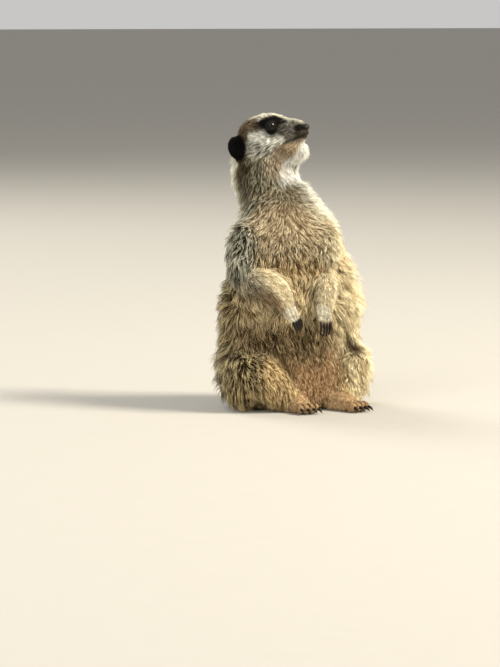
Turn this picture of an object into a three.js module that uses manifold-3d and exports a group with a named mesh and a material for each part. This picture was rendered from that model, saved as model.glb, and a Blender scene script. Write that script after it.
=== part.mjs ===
// A meerkat sitting upright on its rump: hind feet flat in front, forearms hanging over the belly, tail laid
// behind as a prop, and the head turned to its left and raised. Life size, in millimetres.
// +X is the animal's left, -Y is the way the body faces and +Z is up. The origin is on the floor, under the
// middle of the rump. Every solid is the animal's outline out to the tips of its coat.
import * as THREE from "three";
import { mergeVertices } from "three/addons/utils/BufferGeometryUtils.js";
import Module from "manifold-3d";

const wasm = await Module();
wasm.setup();

// Driving dimensions.
const HEAD_LENGTH = 69; // nose tip to the back of the skull
const SHOULDER_HEIGHT = 163;
const KNEE_HEIGHT = 50;
const FOOT_LENGTH = 54; // heel to toe tips, without the claws
const EYE_RADIUS = 5.6;
const GAP = 0.35; // air between neighbouring pieces
const TOES = 4;

// Where the head sits on the neck, and how it is turned from facing -Y: to its left, up, and rolled.
const HEAD = { at: [-9, 32, 236], yaw: 32, pitch: 16, roll: 3 };
// Each hind foot's heel on the floor, and its heading turned to the animal's left.
const HEEL = { l: { at: [12, -34, 0], heading: 15 }, r: { at: [-25, -24, 0], heading: 1 } };
const SIDES = { l: 1, r: -1 };

const COLOURS = {
  grizzled: 0x8a7350,
  pale: 0xb59a6c,
  crown: 0x7d6448,
  dark: 0x1d1713,
  claw: 0x2b211b,
  nose: 0x3a2822,
};

const degrees = THREE.MathUtils.degToRad;
const vector = (p) => new THREE.Vector3(...p);

// A THREE geometry as a manifold-3d solid.
function solidOf(geometry) {
  const bare = geometry.clone();
  bare.deleteAttribute("normal");
  bare.deleteAttribute("uv");
  const merged = mergeVertices(bare, 1e-4);
  return new wasm.Manifold(
    new wasm.Mesh({
      numProp: 3,
      vertProperties: merged.attributes.position.array,
      triVerts: new Uint32Array(merged.index.array),
    }),
  );
}

// A manifold-3d solid as a THREE geometry.
function geometryOf(solid) {
  const { vertProperties, triVerts } = solid.getMesh();
  const geometry = new THREE.BufferGeometry();
  geometry.setAttribute("position", new THREE.BufferAttribute(vertProperties, 3));
  geometry.setIndex(new THREE.BufferAttribute(triVerts, 1));
  const shaded = geometry.toNonIndexed();
  shaded.computeVertexNormals();
  return shaded;
}

// The ring size at path parameter t, as a share of its full size: 1 between two round ends.
function endShare(t, [first, last]) {
  const near = Math.max(0, 1 - t / first, 1 - (1 - t) / last);
  return Math.sqrt(Math.max(0, 1 - near * near));
}

// A closed round-ended solid swept through stations. Each has its centre, its half width, and its half
// depths towards the rise direction and away from it. grow moves the whole surface outwards.
function sweep({ stations, rise = [0, 1, 0], around = 14, along = 9, ends = [0.18, 0.18] }, grow = 0) {
  const path = new THREE.CatmullRomCurve3(stations.map((s) => vector(s.at)));
  const sizes = new THREE.CatmullRomCurve3(
    stations.map((s) => new THREE.Vector3(s.wide, s.rise ?? s.wide, s.fall ?? s.rise ?? s.wide)),
  );
  const geometry = new THREE.SphereGeometry(1, around, along);
  const points = geometry.attributes.position;
  const ball = new THREE.Vector3();
  for (let i = 0; i < points.count; i++) {
    ball.fromBufferAttribute(points, i);
    const t = THREE.MathUtils.clamp((1 - ball.y) / 2, 0, 1);
    const ring = Math.hypot(ball.x, ball.z) || 1;
    const forward = path.getTangent(t);
    const up = vector(rise).addScaledVector(forward, -forward.dot(vector(rise))).normalize();
    const across = new THREE.Vector3().crossVectors(up, forward);
    const size = sizes.getPoint(t);
    const share = endShare(t, ends);
    const depth = ball.z > 0 ? size.y : size.z;
    const place = path
      .getPoint(t)
      .addScaledVector(across, (ball.x / ring) * share * (size.x + grow))
      .addScaledVector(up, (ball.z / ring) * share * (depth + grow))
      .addScaledVector(forward, -ball.y * grow);
    points.setXYZ(i, place.x, place.y, place.z);
  }
  return solidOf(geometry);
}

// An ellipsoid at a centre, with three radii, turned by Euler angles in degrees.
function ellipsoid({ at, radii, turn = [0, 0, 0], around = 11, along = 6 }, grow = 0) {
  const geometry = new THREE.SphereGeometry(1, around, along);
  geometry.scale(radii[0] + grow, radii[1] + grow, radii[2] + grow);
  const turned = new THREE.Euler(...turn.map(degrees));
  geometry.applyMatrix4(new THREE.Matrix4().makeRotationFromEuler(turned));
  geometry.translate(...at);
  return solidOf(geometry);
}

const union = (solids) => solids.reduce((a, b) => a.add(b));
const without = (solid, cutters) => cutters.reduce((a, b) => a.subtract(b), solid);
const placed = (solid, group) => solid.transform(group.matrixWorld.elements);
const unplaced = (solid, group) => solid.transform(group.matrixWorld.clone().invert().elements);

// The largest of a solid's separate bodies, which drops slivers that a cut leaves.
function largest(solid) {
  return solid.decompose().reduce((a, b) => (a.volume() > b.volume() ? a : b));
}

// What lies under the floor.
const ground = solidOf(new THREE.BoxGeometry(800, 800, 80).translate(0, 0, -40));
const onFloor = (solid) => solid.subtract(ground);

const meerkat = new THREE.Group();

// Adds one named mesh to a group.
function addMesh(group, name, solid, colour, roughness = 0.9) {
  const material = new THREE.MeshStandardMaterial({ color: COLOURS[colour], roughness, metalness: 0 });
  const mesh = new THREE.Mesh(geometryOf(largest(solid)), material);
  mesh.name = name;
  group.add(mesh);
}

// A nested group at a place, turned by Euler angles in degrees.
function addGroup(at, turn, order = "XYZ") {
  const group = new THREE.Group();
  group.position.set(...at);
  group.rotation.set(...turn.map(degrees), order);
  meerkat.add(group);
  group.updateMatrixWorld(true);
  return group;
}

// ---- Trunk and neck ----

// Pear-shaped, from the seat to the shoulders; rise is the depth towards the back, fall towards the belly.
const trunkShape = {
  around: 24,
  along: 16,
  ends: [0.06, 0.12],
  stations: [
    { at: [0, 0, -10], wide: 44, rise: 42, fall: 42 },
    { at: [0, 0, 14], wide: 54, rise: 50, fall: 48 },
    { at: [-1, 2, 48], wide: 66, rise: 56, fall: 51 },
    { at: [-1, 3, 82], wide: 67, rise: 57, fall: 51 },
    { at: [0, 4, 112], wide: 62, rise: 53, fall: 48 },
    { at: [-3, 9, 140], wide: 53, rise: 45, fall: 42 },
    { at: [-5, 15, SHOULDER_HEIGHT], wide: 42, rise: 36, fall: 37 },
    { at: [-7, 21, 182], wide: 35, rise: 30, fall: 31 },
    { at: [-9, 27, 202], wide: 27, rise: 25, fall: 23 },
  ],
};

const neckShape = {
  around: 18,
  along: 7,
  stations: [
    { at: [-6, 21, 176], wide: 30, rise: 28, fall: 28 },
    { at: [-9, 27, 194], wide: 29, rise: 28, fall: 24 },
    { at: [-11, 32, 212], wide: 30, rise: 32, fall: 24 },
    { at: [-11, 33, 237], wide: 23, rise: 24, fall: 19 },
  ],
};

// ---- Head, in its own frame: +X left, -Y towards the nose, +Z up, origin on the neck's axis ----

const NOSE_FRONT = -HEAD_LENGTH * 0.64; // the nose tip's place along Y
const headShape = {
  rise: [0, 0, 1],
  around: 22,
  along: 16,
  ends: [0.1, 0.06],
  stations: [
    { at: [0, HEAD_LENGTH * 0.37, 4], wide: 17, rise: 15, fall: 15 },
    { at: [0, 17, 2], wide: 22.5, rise: 21, fall: 20 },
    { at: [0, 7, 1], wide: 25, rise: 23.6, fall: 22.5 },
    { at: [0, -3, 0.5], wide: 25, rise: 24.2, fall: 22.5 },
    { at: [0, -12, 0.5], wide: 21.5, rise: 22.6, fall: 20 },
    { at: [0, -20, 0.5], wide: 16.5, rise: 17.6, fall: 16.5 },
    { at: [0, -27, 0.5], wide: 11.6, rise: 13.6, fall: 13 },
    { at: [0, -34, 0.6], wide: 8.4, rise: 11.2, fall: 9.6 },
    { at: [0, NOSE_FRONT + 2.5, 1.6], wide: 5.6, rise: 7, fall: 5.6 },
  ],
};
const browShape = (sign) => ({ at: [sign * 11, -9.5, 15.6], radii: [7, 10.5, 4.8], turn: [-16, sign * 22, sign * 14] });
const lipShape = (sign) => ({ at: [sign * 3.6, NOSE_FRONT + 11.4, -1], radii: [4.2, 8.2, 4.2], turn: [8, 0, sign * 14] });
const chinShape = { at: [0, NOSE_FRONT + 14.5, -6], radii: [5.4, 9, 4.6], turn: [14, 0, 0] };
// The loose fur of the throat, fuller on the side that the head is turned to.
const throatShape = { at: [3.5, -11, -11], radii: [20, 24.5, 12.5], turn: [14, 0, 0], around: 16, along: 9 };
const noseShape = { at: [0, NOSE_FRONT + 1.4, 2.6], radii: [4.1, 3, 3.2], around: 12, along: 8 };
const eyeShape = (sign) => ({
  at: [sign * 12.6, -15, 10.6],
  radii: [EYE_RADIUS, EYE_RADIUS, EYE_RADIUS],
  around: 12,
  along: 8,
});
// The hollow round an eye, in front of the ball.
const orbitShape = (sign) => ({ at: [sign * 17.6, -17.6, 13], radii: [5.4, 5, 4.4] });

// An ear is a thick crescent-edged shell: a disc facing out and forwards, hollowed on that face.
const EAR = { out: 23.5, back: 18.8, up: -1.4, tall: 11.6, wide: 8.4, thick: 3.6, facing: 58 };

const earShape = (sign) => ({
  at: [sign * EAR.out, EAR.back, EAR.up],
  radii: [EAR.wide, EAR.thick, EAR.tall],
  turn: [0, 0, sign * EAR.facing],
  along: 8,
});

function earSolid(sign) {
  const ear = earShape(sign);
  const facing = vector([0, -1, 0]).applyEuler(new THREE.Euler(...ear.turn.map(degrees)));
  const hollow = vector(ear.at).addScaledVector(facing, 4.6);
  return ellipsoid(ear).subtract(
    ellipsoid({ ...ear, at: hollow.toArray(), radii: [EAR.wide - 2.2, 3.4, EAR.tall - 2.6] }),
  );
}

function headSolid(grow = 0) {
  const sides = Object.values(SIDES);
  return union([
    sweep(headShape, grow),
    ...sides.map((sign) => ellipsoid(browShape(sign), grow)),
    ...sides.map((sign) => ellipsoid(lipShape(sign), grow)),
    ellipsoid(throatShape, grow),
    ellipsoid(chinShape, grow),
  ]);
}

function addHead() {
  const group = addGroup(HEAD.at, [-HEAD.pitch, HEAD.roll, HEAD.yaw], "ZYX");
  const sides = Object.entries(SIDES);
  const hollows = sides.flatMap(([, sign]) => [ellipsoid(eyeShape(sign), GAP), ellipsoid(orbitShape(sign))]);
  addMesh(group, "head", without(headSolid(), [...hollows, ellipsoid(noseShape, GAP)]), "crown");
  addMesh(group, "nose", ellipsoid(noseShape), "nose", 0.4);
  for (const [side, sign] of sides) {
    addMesh(group, `eye_${side}`, ellipsoid(eyeShape(sign)), "dark", 0.08);
    addMesh(group, `ear_${side}`, earSolid(sign).subtract(headSolid(GAP)), "dark");
  }
  const ears = sides.map(([, sign]) => ellipsoid(earShape(sign), GAP));
  return placed(union([headSolid(GAP), ...ears]), group);
}

// ---- Arms ----

const ARM = {
  l: {
    shoulder: [25, 7, SHOULDER_HEIGHT - 3],
    upper: [18, -20, 144],
    elbow: [8.5, -37, 123],
    forearm: [4.5, -50.5, 108],
    wrist: [-2.5, -56.5, 92.5],
    paw: [-10, 0, 14],
    girth: 0.72,
  },
  r: {
    shoulder: [-38, 10, SHOULDER_HEIGHT],
    upper: [-52, 0, 139],
    elbow: [-57, -14, 116],
    forearm: [-43.5, -40, 111],
    wrist: [-36, -51.4, 92.5],
    paw: [-16, -26, 24],
    girth: 1,
  },
};

const upperArmShape = ({ shoulder, upper, elbow }) => ({
  rise: [0, -1, 0],
  ends: [0.25, 0.25],
  stations: [
    { at: shoulder, wide: 16, rise: 19 },
    { at: upper, wide: 14, rise: 17 },
    { at: [elbow[0], elbow[1] + 4, elbow[2] - 6], wide: 12, rise: 13 },
  ],
});

const forearmShape = ({ elbow, forearm, wrist, girth }) => ({
  rise: [0, 0, 1],
  ends: [0.25, 0.12],
  stations: [
    { at: [elbow[0], elbow[1] + 6, elbow[2] + 1], wide: 11 * girth, rise: 12 * girth },
    { at: forearm, wide: 10.2 * girth, rise: 11 * girth },
    { at: wrist, wide: 7.2, rise: 7.6 },
  ],
});

// ---- Forepaws, in a frame at the wrist: -Z towards the claws, -Y the back of the paw ----

const DIGIT = { pitch: 4, root: -7, tip: -15.5, radius: 2.15 };
const digitX = (i) => (i - (TOES - 1) / 2) * DIGIT.pitch;
const palmShape = {
  around: 10,
  along: 5,
  ends: [0.2, 0.25],
  stations: [
    { at: [0, 0, 5], wide: 6.6, rise: 5.8 },
    { at: [0, -0.4, -4], wide: 7.4, rise: 5.4 },
    { at: [0, -0.6, -11], wide: 7.4, rise: 4 },
  ],
};
const digitShape = (i) => ({
  around: 7,
  along: 5,
  ends: [0.3, 0.3],
  stations: [
    { at: [digitX(i) * 0.8, -0.6, DIGIT.root], wide: DIGIT.radius, rise: DIGIT.radius + 0.4 },
    { at: [digitX(i), -1.2, (DIGIT.root + DIGIT.tip) / 2], wide: DIGIT.radius, rise: DIGIT.radius + 0.2 },
    { at: [digitX(i), -0.4, DIGIT.tip + Math.abs(i - 1.5) * 0.9], wide: DIGIT.radius - 0.4 },
  ],
});
// A long digging claw, curved towards the palm.
const CLAW = { length: 11, radius: 1.35, tip: 0.32 };
const clawShape = (i) => {
  const x = digitX(i);
  const top = DIGIT.tip + Math.abs(i - 1.5) * 0.9 + 2.4;
  return {
    around: 6,
    along: 5,
    ends: [0.2, 0.08],
    stations: [
      { at: [x, -0.9, top], wide: CLAW.radius, rise: CLAW.radius + 0.3 },
      { at: [x * 0.96, -1.3, top - CLAW.length * 0.4], wide: CLAW.radius * 0.85, rise: CLAW.radius },
      { at: [x * 0.9, 0, top - CLAW.length * 0.8], wide: CLAW.radius * 0.5 },
      { at: [x * 0.86, 1.6, top - CLAW.length], wide: CLAW.tip },
    ],
  };
};

// ---- Legs ----

const KNEE = { l: [43, -40, KNEE_HEIGHT], r: [-61, -30, KNEE_HEIGHT - 4] };
const ANKLE = { l: [28, -44, 10], r: [-31, -39, 10] };

// The haunch: a heavy thigh from the hip to the knee, resting along the floor.
const thighShape = (side, sign) => ({
  rise: [0, 0, 1],
  around: 18,
  along: 11,
  ends: [0.22, 0.2],
  stations: [
    { at: [sign * 26, 33, 33], wide: 20, rise: 26, fall: 36 },
    { at: [sign * 44, 13, 40], wide: 26, rise: 34, fall: 43 },
    { at: [(sign * 50 + KNEE[side][0]) / 2, -12, 40], wide: 23, rise: 30, fall: 43 },
    { at: [KNEE[side][0], KNEE[side][1] + 4, KNEE[side][2] - 6], wide: 18, rise: 19, fall: 32 },
    { at: [KNEE[side][0], KNEE[side][1] - 12, KNEE[side][2] - 6], wide: 12, rise: 13, fall: 20 },
  ],
});

const shankShape = (side) => ({
  around: 16,
  along: 10,
  ends: [0.2, 0.2],
  stations: [
    { at: vector(KNEE[side]).lerp(vector(ANKLE[side]), -0.1).toArray(), wide: 14, rise: 12, fall: 13 },
    { at: vector(KNEE[side]).lerp(vector(ANKLE[side]), 0.35).toArray(), wide: 15, rise: 14, fall: 14 },
    { at: vector(KNEE[side]).lerp(vector(ANKLE[side]), 0.75).toArray(), wide: 14, rise: 14, fall: 14 },
    { at: vector(KNEE[side]).lerp(vector(ANKLE[side]), 1.15).toArray(), wide: 12, rise: 12, fall: 12 },
  ],
});

// ---- Hind feet, in a frame at the heel on the floor: -Y towards the toes, +Z up ----

const TOE = { pitch: 5.1, root: -40, tip: -(FOOT_LENGTH - 6), radius: 2.9 };
const toeX = (i) => (i - (TOES - 1) / 2) * TOE.pitch;
const toeTip = (i) => TOE.tip + Math.abs(i - 1.5) * 1.4;
const footShape = {
  rise: [0, 0, 1],
  around: 12,
  along: 7,
  ends: [0.14, 0.2],
  stations: [
    { at: [0, 8, 6], wide: 7.5, rise: 9, fall: 8 },
    { at: [0, -8, 7], wide: 8, rise: 10, fall: 9 },
    { at: [0, -26, 6], wide: 9, rise: 9.8, fall: 8 },
    { at: [0, -41, 4.6], wide: 9.8, rise: 6, fall: 6 },
  ],
};
const toeShape = (i) => ({
  rise: [0, 0, 1],
  around: 7,
  along: 5,
  ends: [0.3, 0.35],
  stations: [
    { at: [toeX(i) * 0.8, TOE.root + 6, 6], wide: TOE.radius, rise: TOE.radius + 1.6, fall: 7 },
    { at: [toeX(i), TOE.root - 3, 5.2], wide: TOE.radius, rise: TOE.radius + 1.9, fall: 6.4 },
    { at: [toeX(i) * 1.12, toeTip(i), 3.2], wide: TOE.radius - 0.3, rise: TOE.radius + 0.3, fall: 4.2 },
  ],
});
const hindClawShape = (i) => ({
  rise: [0, 0, 1],
  around: 6,
  along: 5,
  ends: [0.2, 0.1],
  stations: [
    { at: [toeX(i) * 1.12, toeTip(i) + 2.2, 4.4], wide: 1.25, rise: 1.4 },
    { at: [toeX(i) * 1.15, toeTip(i) - 2.2, 4.3], wide: 1.05, rise: 1.2 },
    { at: [toeX(i) * 1.18, toeTip(i) - 6, 1.4], wide: 0.34 },
  ],
});

// ---- Tail, laid on the floor behind ----

const TAIL_RADII = [15, 12.5, 9.8, 8.2, 7, 5.6, 4];
const tailPlaces = [
  [2, 38, 17],
  [6, 56, 12.2],
  [17, 82, 9.5],
  [34, 107, 7.9],
  [55, 128, 6.7],
  [79, 143, 5.3],
  [103, 152, 3.7],
];
const tailShape = {
  rise: [0, 0, 1],
  around: 12,
  along: 20,
  ends: [0.06, 0.05],
  stations: tailPlaces.map((at, i) => ({ at, wide: TAIL_RADII[i] })),
};

// A thin slab across the tail at a path parameter, which parts it into lengths.
function tailCut(t) {
  const path = new THREE.CatmullRomCurve3(tailPlaces.map(vector));
  const slab = new THREE.BoxGeometry(60, 60, GAP);
  const turned = new THREE.Quaternion().setFromUnitVectors(vector([0, 0, 1]), path.getTangent(t));
  slab.applyMatrix4(new THREE.Matrix4().makeRotationFromQuaternion(turned));
  const at = path.getPoint(t);
  return solidOf(slab.translate(at.x, at.y, at.z));
}

// ---- Putting it together ----

const trunkCutter = sweep(trunkShape, GAP);
addMesh(meerkat, "trunk", onFloor(sweep(trunkShape)), "grizzled");
const neckCutter = sweep(neckShape, GAP);
const headCutter = addHead();
addMesh(meerkat, "neck", without(sweep(neckShape), [trunkCutter, headCutter]), "grizzled");

for (const [side, sign] of Object.entries(SIDES)) {
  // Each limb piece is cut back from the pieces above it.
  const arm = ARM[side];
  const upperArmCutter = sweep(upperArmShape(arm), GAP);
  const forearmCutter = sweep(forearmShape(arm), GAP);
  const upperArm = without(sweep(upperArmShape(arm)), [trunkCutter, neckCutter]);
  addMesh(meerkat, `upper_arm_${side}`, upperArm, "grizzled");
  addMesh(meerkat, `forearm_${side}`, without(sweep(forearmShape(arm)), [trunkCutter, upperArmCutter]), "pale");

  const paw = addGroup(arm.wrist, arm.paw);
  const digits = [...Array(TOES).keys()];
  const pawFlesh = union([sweep(palmShape), ...digits.map((i) => sweep(digitShape(i)))]);
  const clawRoom = digits.map((i) => sweep(clawShape(i), GAP));
  const pawCutters = [forearmCutter, trunkCutter].map((solid) => unplaced(solid, paw));
  addMesh(paw, `forepaw_${side}`, without(pawFlesh, [...pawCutters, ...clawRoom]), "pale");
  for (const i of digits) {
    addMesh(paw, `fore_claw_${side}_${i + 1}`, sweep(clawShape(i)), "claw", 0.35);
  }

  const thighCutter = sweep(thighShape(side, sign), GAP);
  const shankCutter = sweep(shankShape(side), GAP);
  addMesh(meerkat, `thigh_${side}`, onFloor(without(sweep(thighShape(side, sign)), [trunkCutter])), "grizzled");
  addMesh(
    meerkat,
    `shank_${side}`,
    onFloor(without(sweep(shankShape(side)), [trunkCutter, thighCutter])),
    "pale",
  );

  const foot = addGroup(HEEL[side].at, [0, 0, HEEL[side].heading]);
  const footFlesh = union([sweep(footShape), ...digits.map((i) => sweep(toeShape(i)))]);
  const hindClawRoom = digits.map((i) => sweep(hindClawShape(i), GAP));
  const footCutters = [trunkCutter, thighCutter, shankCutter].map((solid) => unplaced(solid, foot));
  addMesh(foot, `hind_foot_${side}`, onFloor(without(footFlesh, [...footCutters, ...hindClawRoom])), "pale");
  for (const i of digits) {
    addMesh(foot, `hind_claw_${side}_${i + 1}`, sweep(hindClawShape(i)), "claw", 0.35);
  }
}

const tail = onFloor(without(sweep(tailShape), [trunkCutter]));
const thighsCutter = union(Object.entries(SIDES).map(([side, sign]) => sweep(thighShape(side, sign), GAP)));
const tailLengths = largest(tail.subtract(thighsCutter))
  .subtract(tailCut(0.36))
  .subtract(tailCut(0.68))
  .decompose()
  .sort((a, b) => b.volume() - a.volume());
["tail_base", "tail_middle", "tail_tip"].forEach((name, i) => addMesh(meerkat, name, tailLengths[i], "grizzled"));

export default meerkat;
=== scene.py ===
"""A meerkat sitting upright, as a still model: one skin, its coat in tufts, eyes, nose, claws and whiskers."""

import logging
import math
from dataclasses import astuple, dataclass, field
from enum import Enum
from typing import Optional, Sequence

import bmesh
import bpy
import numpy as np
from mathutils import Matrix, Vector
from mathutils.bvhtree import BVHTree
from mathutils.kdtree import KDTree


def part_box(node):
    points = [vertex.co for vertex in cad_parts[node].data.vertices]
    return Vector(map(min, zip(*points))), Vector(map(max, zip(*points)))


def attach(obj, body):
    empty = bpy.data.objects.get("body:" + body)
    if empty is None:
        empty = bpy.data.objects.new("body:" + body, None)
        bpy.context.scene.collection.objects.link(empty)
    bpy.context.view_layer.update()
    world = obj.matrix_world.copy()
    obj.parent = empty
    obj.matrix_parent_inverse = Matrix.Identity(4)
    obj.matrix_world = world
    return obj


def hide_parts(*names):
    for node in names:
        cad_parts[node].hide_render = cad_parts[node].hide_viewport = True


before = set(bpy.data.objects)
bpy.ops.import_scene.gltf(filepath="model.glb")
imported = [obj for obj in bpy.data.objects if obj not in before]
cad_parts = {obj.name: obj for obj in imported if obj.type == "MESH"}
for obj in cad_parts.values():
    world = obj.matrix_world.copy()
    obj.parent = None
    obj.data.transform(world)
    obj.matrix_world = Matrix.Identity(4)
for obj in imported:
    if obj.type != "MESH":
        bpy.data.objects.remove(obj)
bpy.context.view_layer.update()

log = logging.getLogger("meerkat")
MM = 0.001
SEED = 7
Pair = tuple[float, float]
Triple = tuple[float, float, float]
Colour = tuple[int, int, int]
Arrays = tuple[np.ndarray, ...]
EYES = ("eye_l", "eye_r")
CLAWS = tuple(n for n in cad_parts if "_claw_" in n)
FLESH = tuple(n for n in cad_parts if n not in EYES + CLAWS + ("nose",))


class Side(Enum):
    """The animal's two sides, by the sign of X."""

    LEFT = 1
    RIGHT = -1

    @property
    def letter(self) -> str:
        """The letter that ends this side's node names."""
        return "l" if self is Side.LEFT else "r"


class Zone(Enum):
    """A stretch of coat, by the node names that it covers."""

    HEAD = ("head", "nose", "eye")
    EAR = ("ear",)
    NECK = ("neck",)
    TRUNK = ("trunk",)
    UPPER_ARM = ("upper_arm",)
    FOREARM = ("forearm",)
    FOREPAW = ("forepaw",)
    THIGH = ("thigh",)
    SHANK = ("shank",)
    HIND_FOOT = ("hind_foot",)
    TAIL = ("tail",)

    @classmethod
    def of(cls, node: str) -> "Zone":
        """The zone that a node belongs to."""
        return next(z for z in cls if node.startswith(z.value))


ZONES = list(Zone)


def part_of(weights: np.ndarray, *zones: Zone) -> np.ndarray:
    """How much of some zones each point has, from its weights."""
    return weights[:, [ZONES.index(z) for z in zones]].sum(axis=1)


def unit(v: np.ndarray) -> np.ndarray:
    """Vectors scaled to length one.

    Args:
        v: vectors in the last axis.

    Returns:
        The same array, each vector of length one, or zero where it was zero.
    """
    return v / np.maximum(np.linalg.norm(v, axis=-1, keepdims=True), 1e-9)


def step(low: float, high: float, x: np.ndarray) -> np.ndarray:
    """A smooth step from 0 at low to 1 at high, which may be the smaller one.

    Args:
        low: where the step starts.
        high: where it ends.
        x: values to pass through it.

    Returns:
        Values from 0 to 1.
    """
    t = np.clip((x - low) / (high - low), 0.0, 1.0)
    return t * t * (3 - 2 * t)


def linear(r: int, g: int, b: int) -> np.ndarray:
    """A colour given as 0 to 255, as linear light."""
    c = np.array([r, g, b]) / 255.0
    return np.where(c <= 0.04045, c / 12.92, ((c + 0.055) / 1.055) ** 2.4)


def facing(normals: np.ndarray, *way: float) -> np.ndarray:
    """How squarely normals face one way, from -1 to 1."""
    return normals @ unit(np.array(way))


def away(points: np.ndarray, at: Sequence[float], stretch: Sequence[float] = (1.0, 1.0, 1.0)) -> np.ndarray:
    """The distance of points from a place, with each axis stretched."""
    return np.linalg.norm((points - np.array(at)) * stretch, axis=1)


def line_gap(line: Sequence[Sequence[float]], points: np.ndarray, closed: bool = False) -> np.ndarray:
    """The distance of points from a line of straight stretches.

    Args:
        line: its corners, in a plane or in space.
        points: the points, with as many coordinates.
        closed: whether the last corner joins the first.

    Returns:
        A distance for each point.
    """
    corners = np.array(line)
    best = np.full(len(points), np.inf)
    for a, b in zip(corners, np.roll(corners, -1, axis=0) if closed else corners[1:]):
        t = np.clip((points - a) @ (b - a) / ((b - a) @ (b - a)), 0, 1)
        best = np.minimum(best, np.linalg.norm(points - a - t[:, None] * (b - a), axis=1))
    return best


def inside(outline: Sequence[Pair], y: np.ndarray, z: np.ndarray) -> np.ndarray:
    """How deep points lie inside a closed outline.

    Args:
        outline: its corners.
        y: the points' first coordinate.
        z: the points' second coordinate.

    Returns:
        The distance to the outline, above zero inside it.
    """
    corners = np.array(outline)
    within = np.zeros(len(y), dtype=bool)
    for a, b in zip(corners, np.roll(corners, -1, axis=0)):
        with np.errstate(divide="ignore", invalid="ignore"):
            at = a[0] + (z - a[1]) / (b[1] - a[1]) * (b[0] - a[0])
        within ^= ((a[1] > z) != (b[1] > z)) & (y < at)
    gap = line_gap(corners, np.stack([y, z], axis=1), closed=True)
    return np.where(within, gap, -gap)


def ball_faces(rows: int, around: int) -> list[list[int]]:
    """The faces of a ball of rings, whose two poles come after the rings' points.

    Args:
        rows: how many rings it has.
        around: how many points each ring has.

    Returns:
        The faces.
    """
    start, first, last = (rows - 1) * around, rows * around, rows * around + 1
    after = [(j + 1) % around for j in range(around)]
    out = [[a + j, a + j + around, a + k + around, a + k] for a in range(0, start, around) for j, k in enumerate(after)]
    out += [[first, j, k] for j, k in enumerate(after)]
    return out + [[last, start + k, start + j] for j, k in enumerate(after)]


@dataclass(frozen=True)
class HeadFrame:
    """Where the head sits and how it is turned: its own axes are +X left, -Y to the nose and +Z up, in mm."""

    at: Triple = (-9.0, 32.0, 236.0)
    yaw: float = 32.0
    pitch: float = 16.0
    roll: float = 3.0

    def turn(self) -> np.ndarray:
        """The rotation from the head's axes to the model's, as a 3 by 3 array."""
        z, y, x = (math.radians(a) for a in (self.yaw, self.roll, -self.pitch))
        turned = Matrix.Rotation(z, 3, "Z") @ Matrix.Rotation(y, 3, "Y") @ Matrix.Rotation(x, 3, "X")
        return np.array(turned)

    def to_head(self, points: np.ndarray) -> np.ndarray:
        """Points in the model's frame as points in the head's."""
        return (points - np.array(self.at)) @ self.turn()

    def to_model(self, points: np.ndarray) -> np.ndarray:
        """Points in the head's frame as points in the model's."""
        return points @ self.turn().T + np.array(self.at)


HEAD = HeadFrame()


def read_mesh(mesh: bpy.types.Mesh) -> tuple[np.ndarray, np.ndarray]:
    """A mesh's points in metres, and its triangles."""
    co = np.empty(len(mesh.vertices) * 3)
    mesh.vertices.foreach_get("co", co)
    mesh.calc_loop_triangles()
    tris = np.empty(len(mesh.loop_triangles) * 3, dtype=np.int32)
    mesh.loop_triangles.foreach_get("vertices", tris)
    return co.reshape(-1, 3), tris.reshape(-1, 3)


def node_triangles(name: str) -> tuple[np.ndarray, np.ndarray]:
    """A CAD node's surface with its doubled vertices merged.

    Args:
        name: the node.

    Returns:
        Its points in mm, and its triangles.
    """
    co, tris = read_mesh(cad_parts[name].data)
    points, index = np.unique(np.round(co, 6), axis=0, return_inverse=True)
    tris = index.reshape(-1)[tris]
    whole = (tris[:, 0] != tris[:, 1]) & (tris[:, 1] != tris[:, 2]) & (tris[:, 2] != tris[:, 0])
    return points / MM, tris[whole]


def merged(parts: Sequence[tuple[np.ndarray, np.ndarray]]) -> tuple[np.ndarray, np.ndarray]:
    """Several surfaces, each of points and triangles, as one."""
    starts = np.cumsum([0] + [len(points) for points, _ in parts])
    return np.vstack([p for p, _ in parts]), np.vstack([t + start for (_, t), start in zip(parts, starts)])


def main_way(points: np.ndarray) -> np.ndarray:
    """The way in which points reach furthest, either way along it."""
    return np.linalg.svd(points - points.mean(axis=0), full_matrices=False)[2][0]


def point_tree(points: np.ndarray) -> KDTree:
    """A tree that finds the nearest of some points."""
    tree = KDTree(len(points))
    for i, point in enumerate(points.tolist()):
        tree.insert(point, i)
    tree.balance()
    return tree


def placed(name: str, data: bpy.types.ID) -> bpy.types.Object:
    """A new object that shows some data, at the origin and linked to the scene."""
    obj = bpy.data.objects.new(name, data)
    bpy.context.scene.collection.objects.link(obj)
    return obj


def new_object(name: str, points: np.ndarray, faces: Sequence, smooth: bool = True) -> bpy.types.Object:
    """A mesh object at the origin.

    Args:
        name: the piece's name.
        points: its points in mm.
        faces: its faces, as an array of triangles or a list of lists.
        smooth: whether it is shaded smooth.

    Returns:
        The new object, linked to the scene.
    """
    mesh = bpy.data.meshes.new(name)
    if isinstance(faces, np.ndarray):
        mesh.vertices.add(len(points))
        mesh.vertices.foreach_set("co", (points * MM).astype(np.float32).ravel())
        mesh.loops.add(faces.size)
        mesh.loops.foreach_set("vertex_index", faces.astype(np.int32).ravel())
        mesh.polygons.add(len(faces))
        mesh.polygons.foreach_set("loop_start", np.arange(0, faces.size, faces.shape[1], dtype=np.int32))
        mesh.update(calc_edges=True)
    else:
        mesh.from_pydata((points * MM).tolist(), [], faces)
    mesh.polygons.foreach_set("use_smooth", np.full(len(mesh.polygons), smooth))
    return placed(name, mesh)


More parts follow.
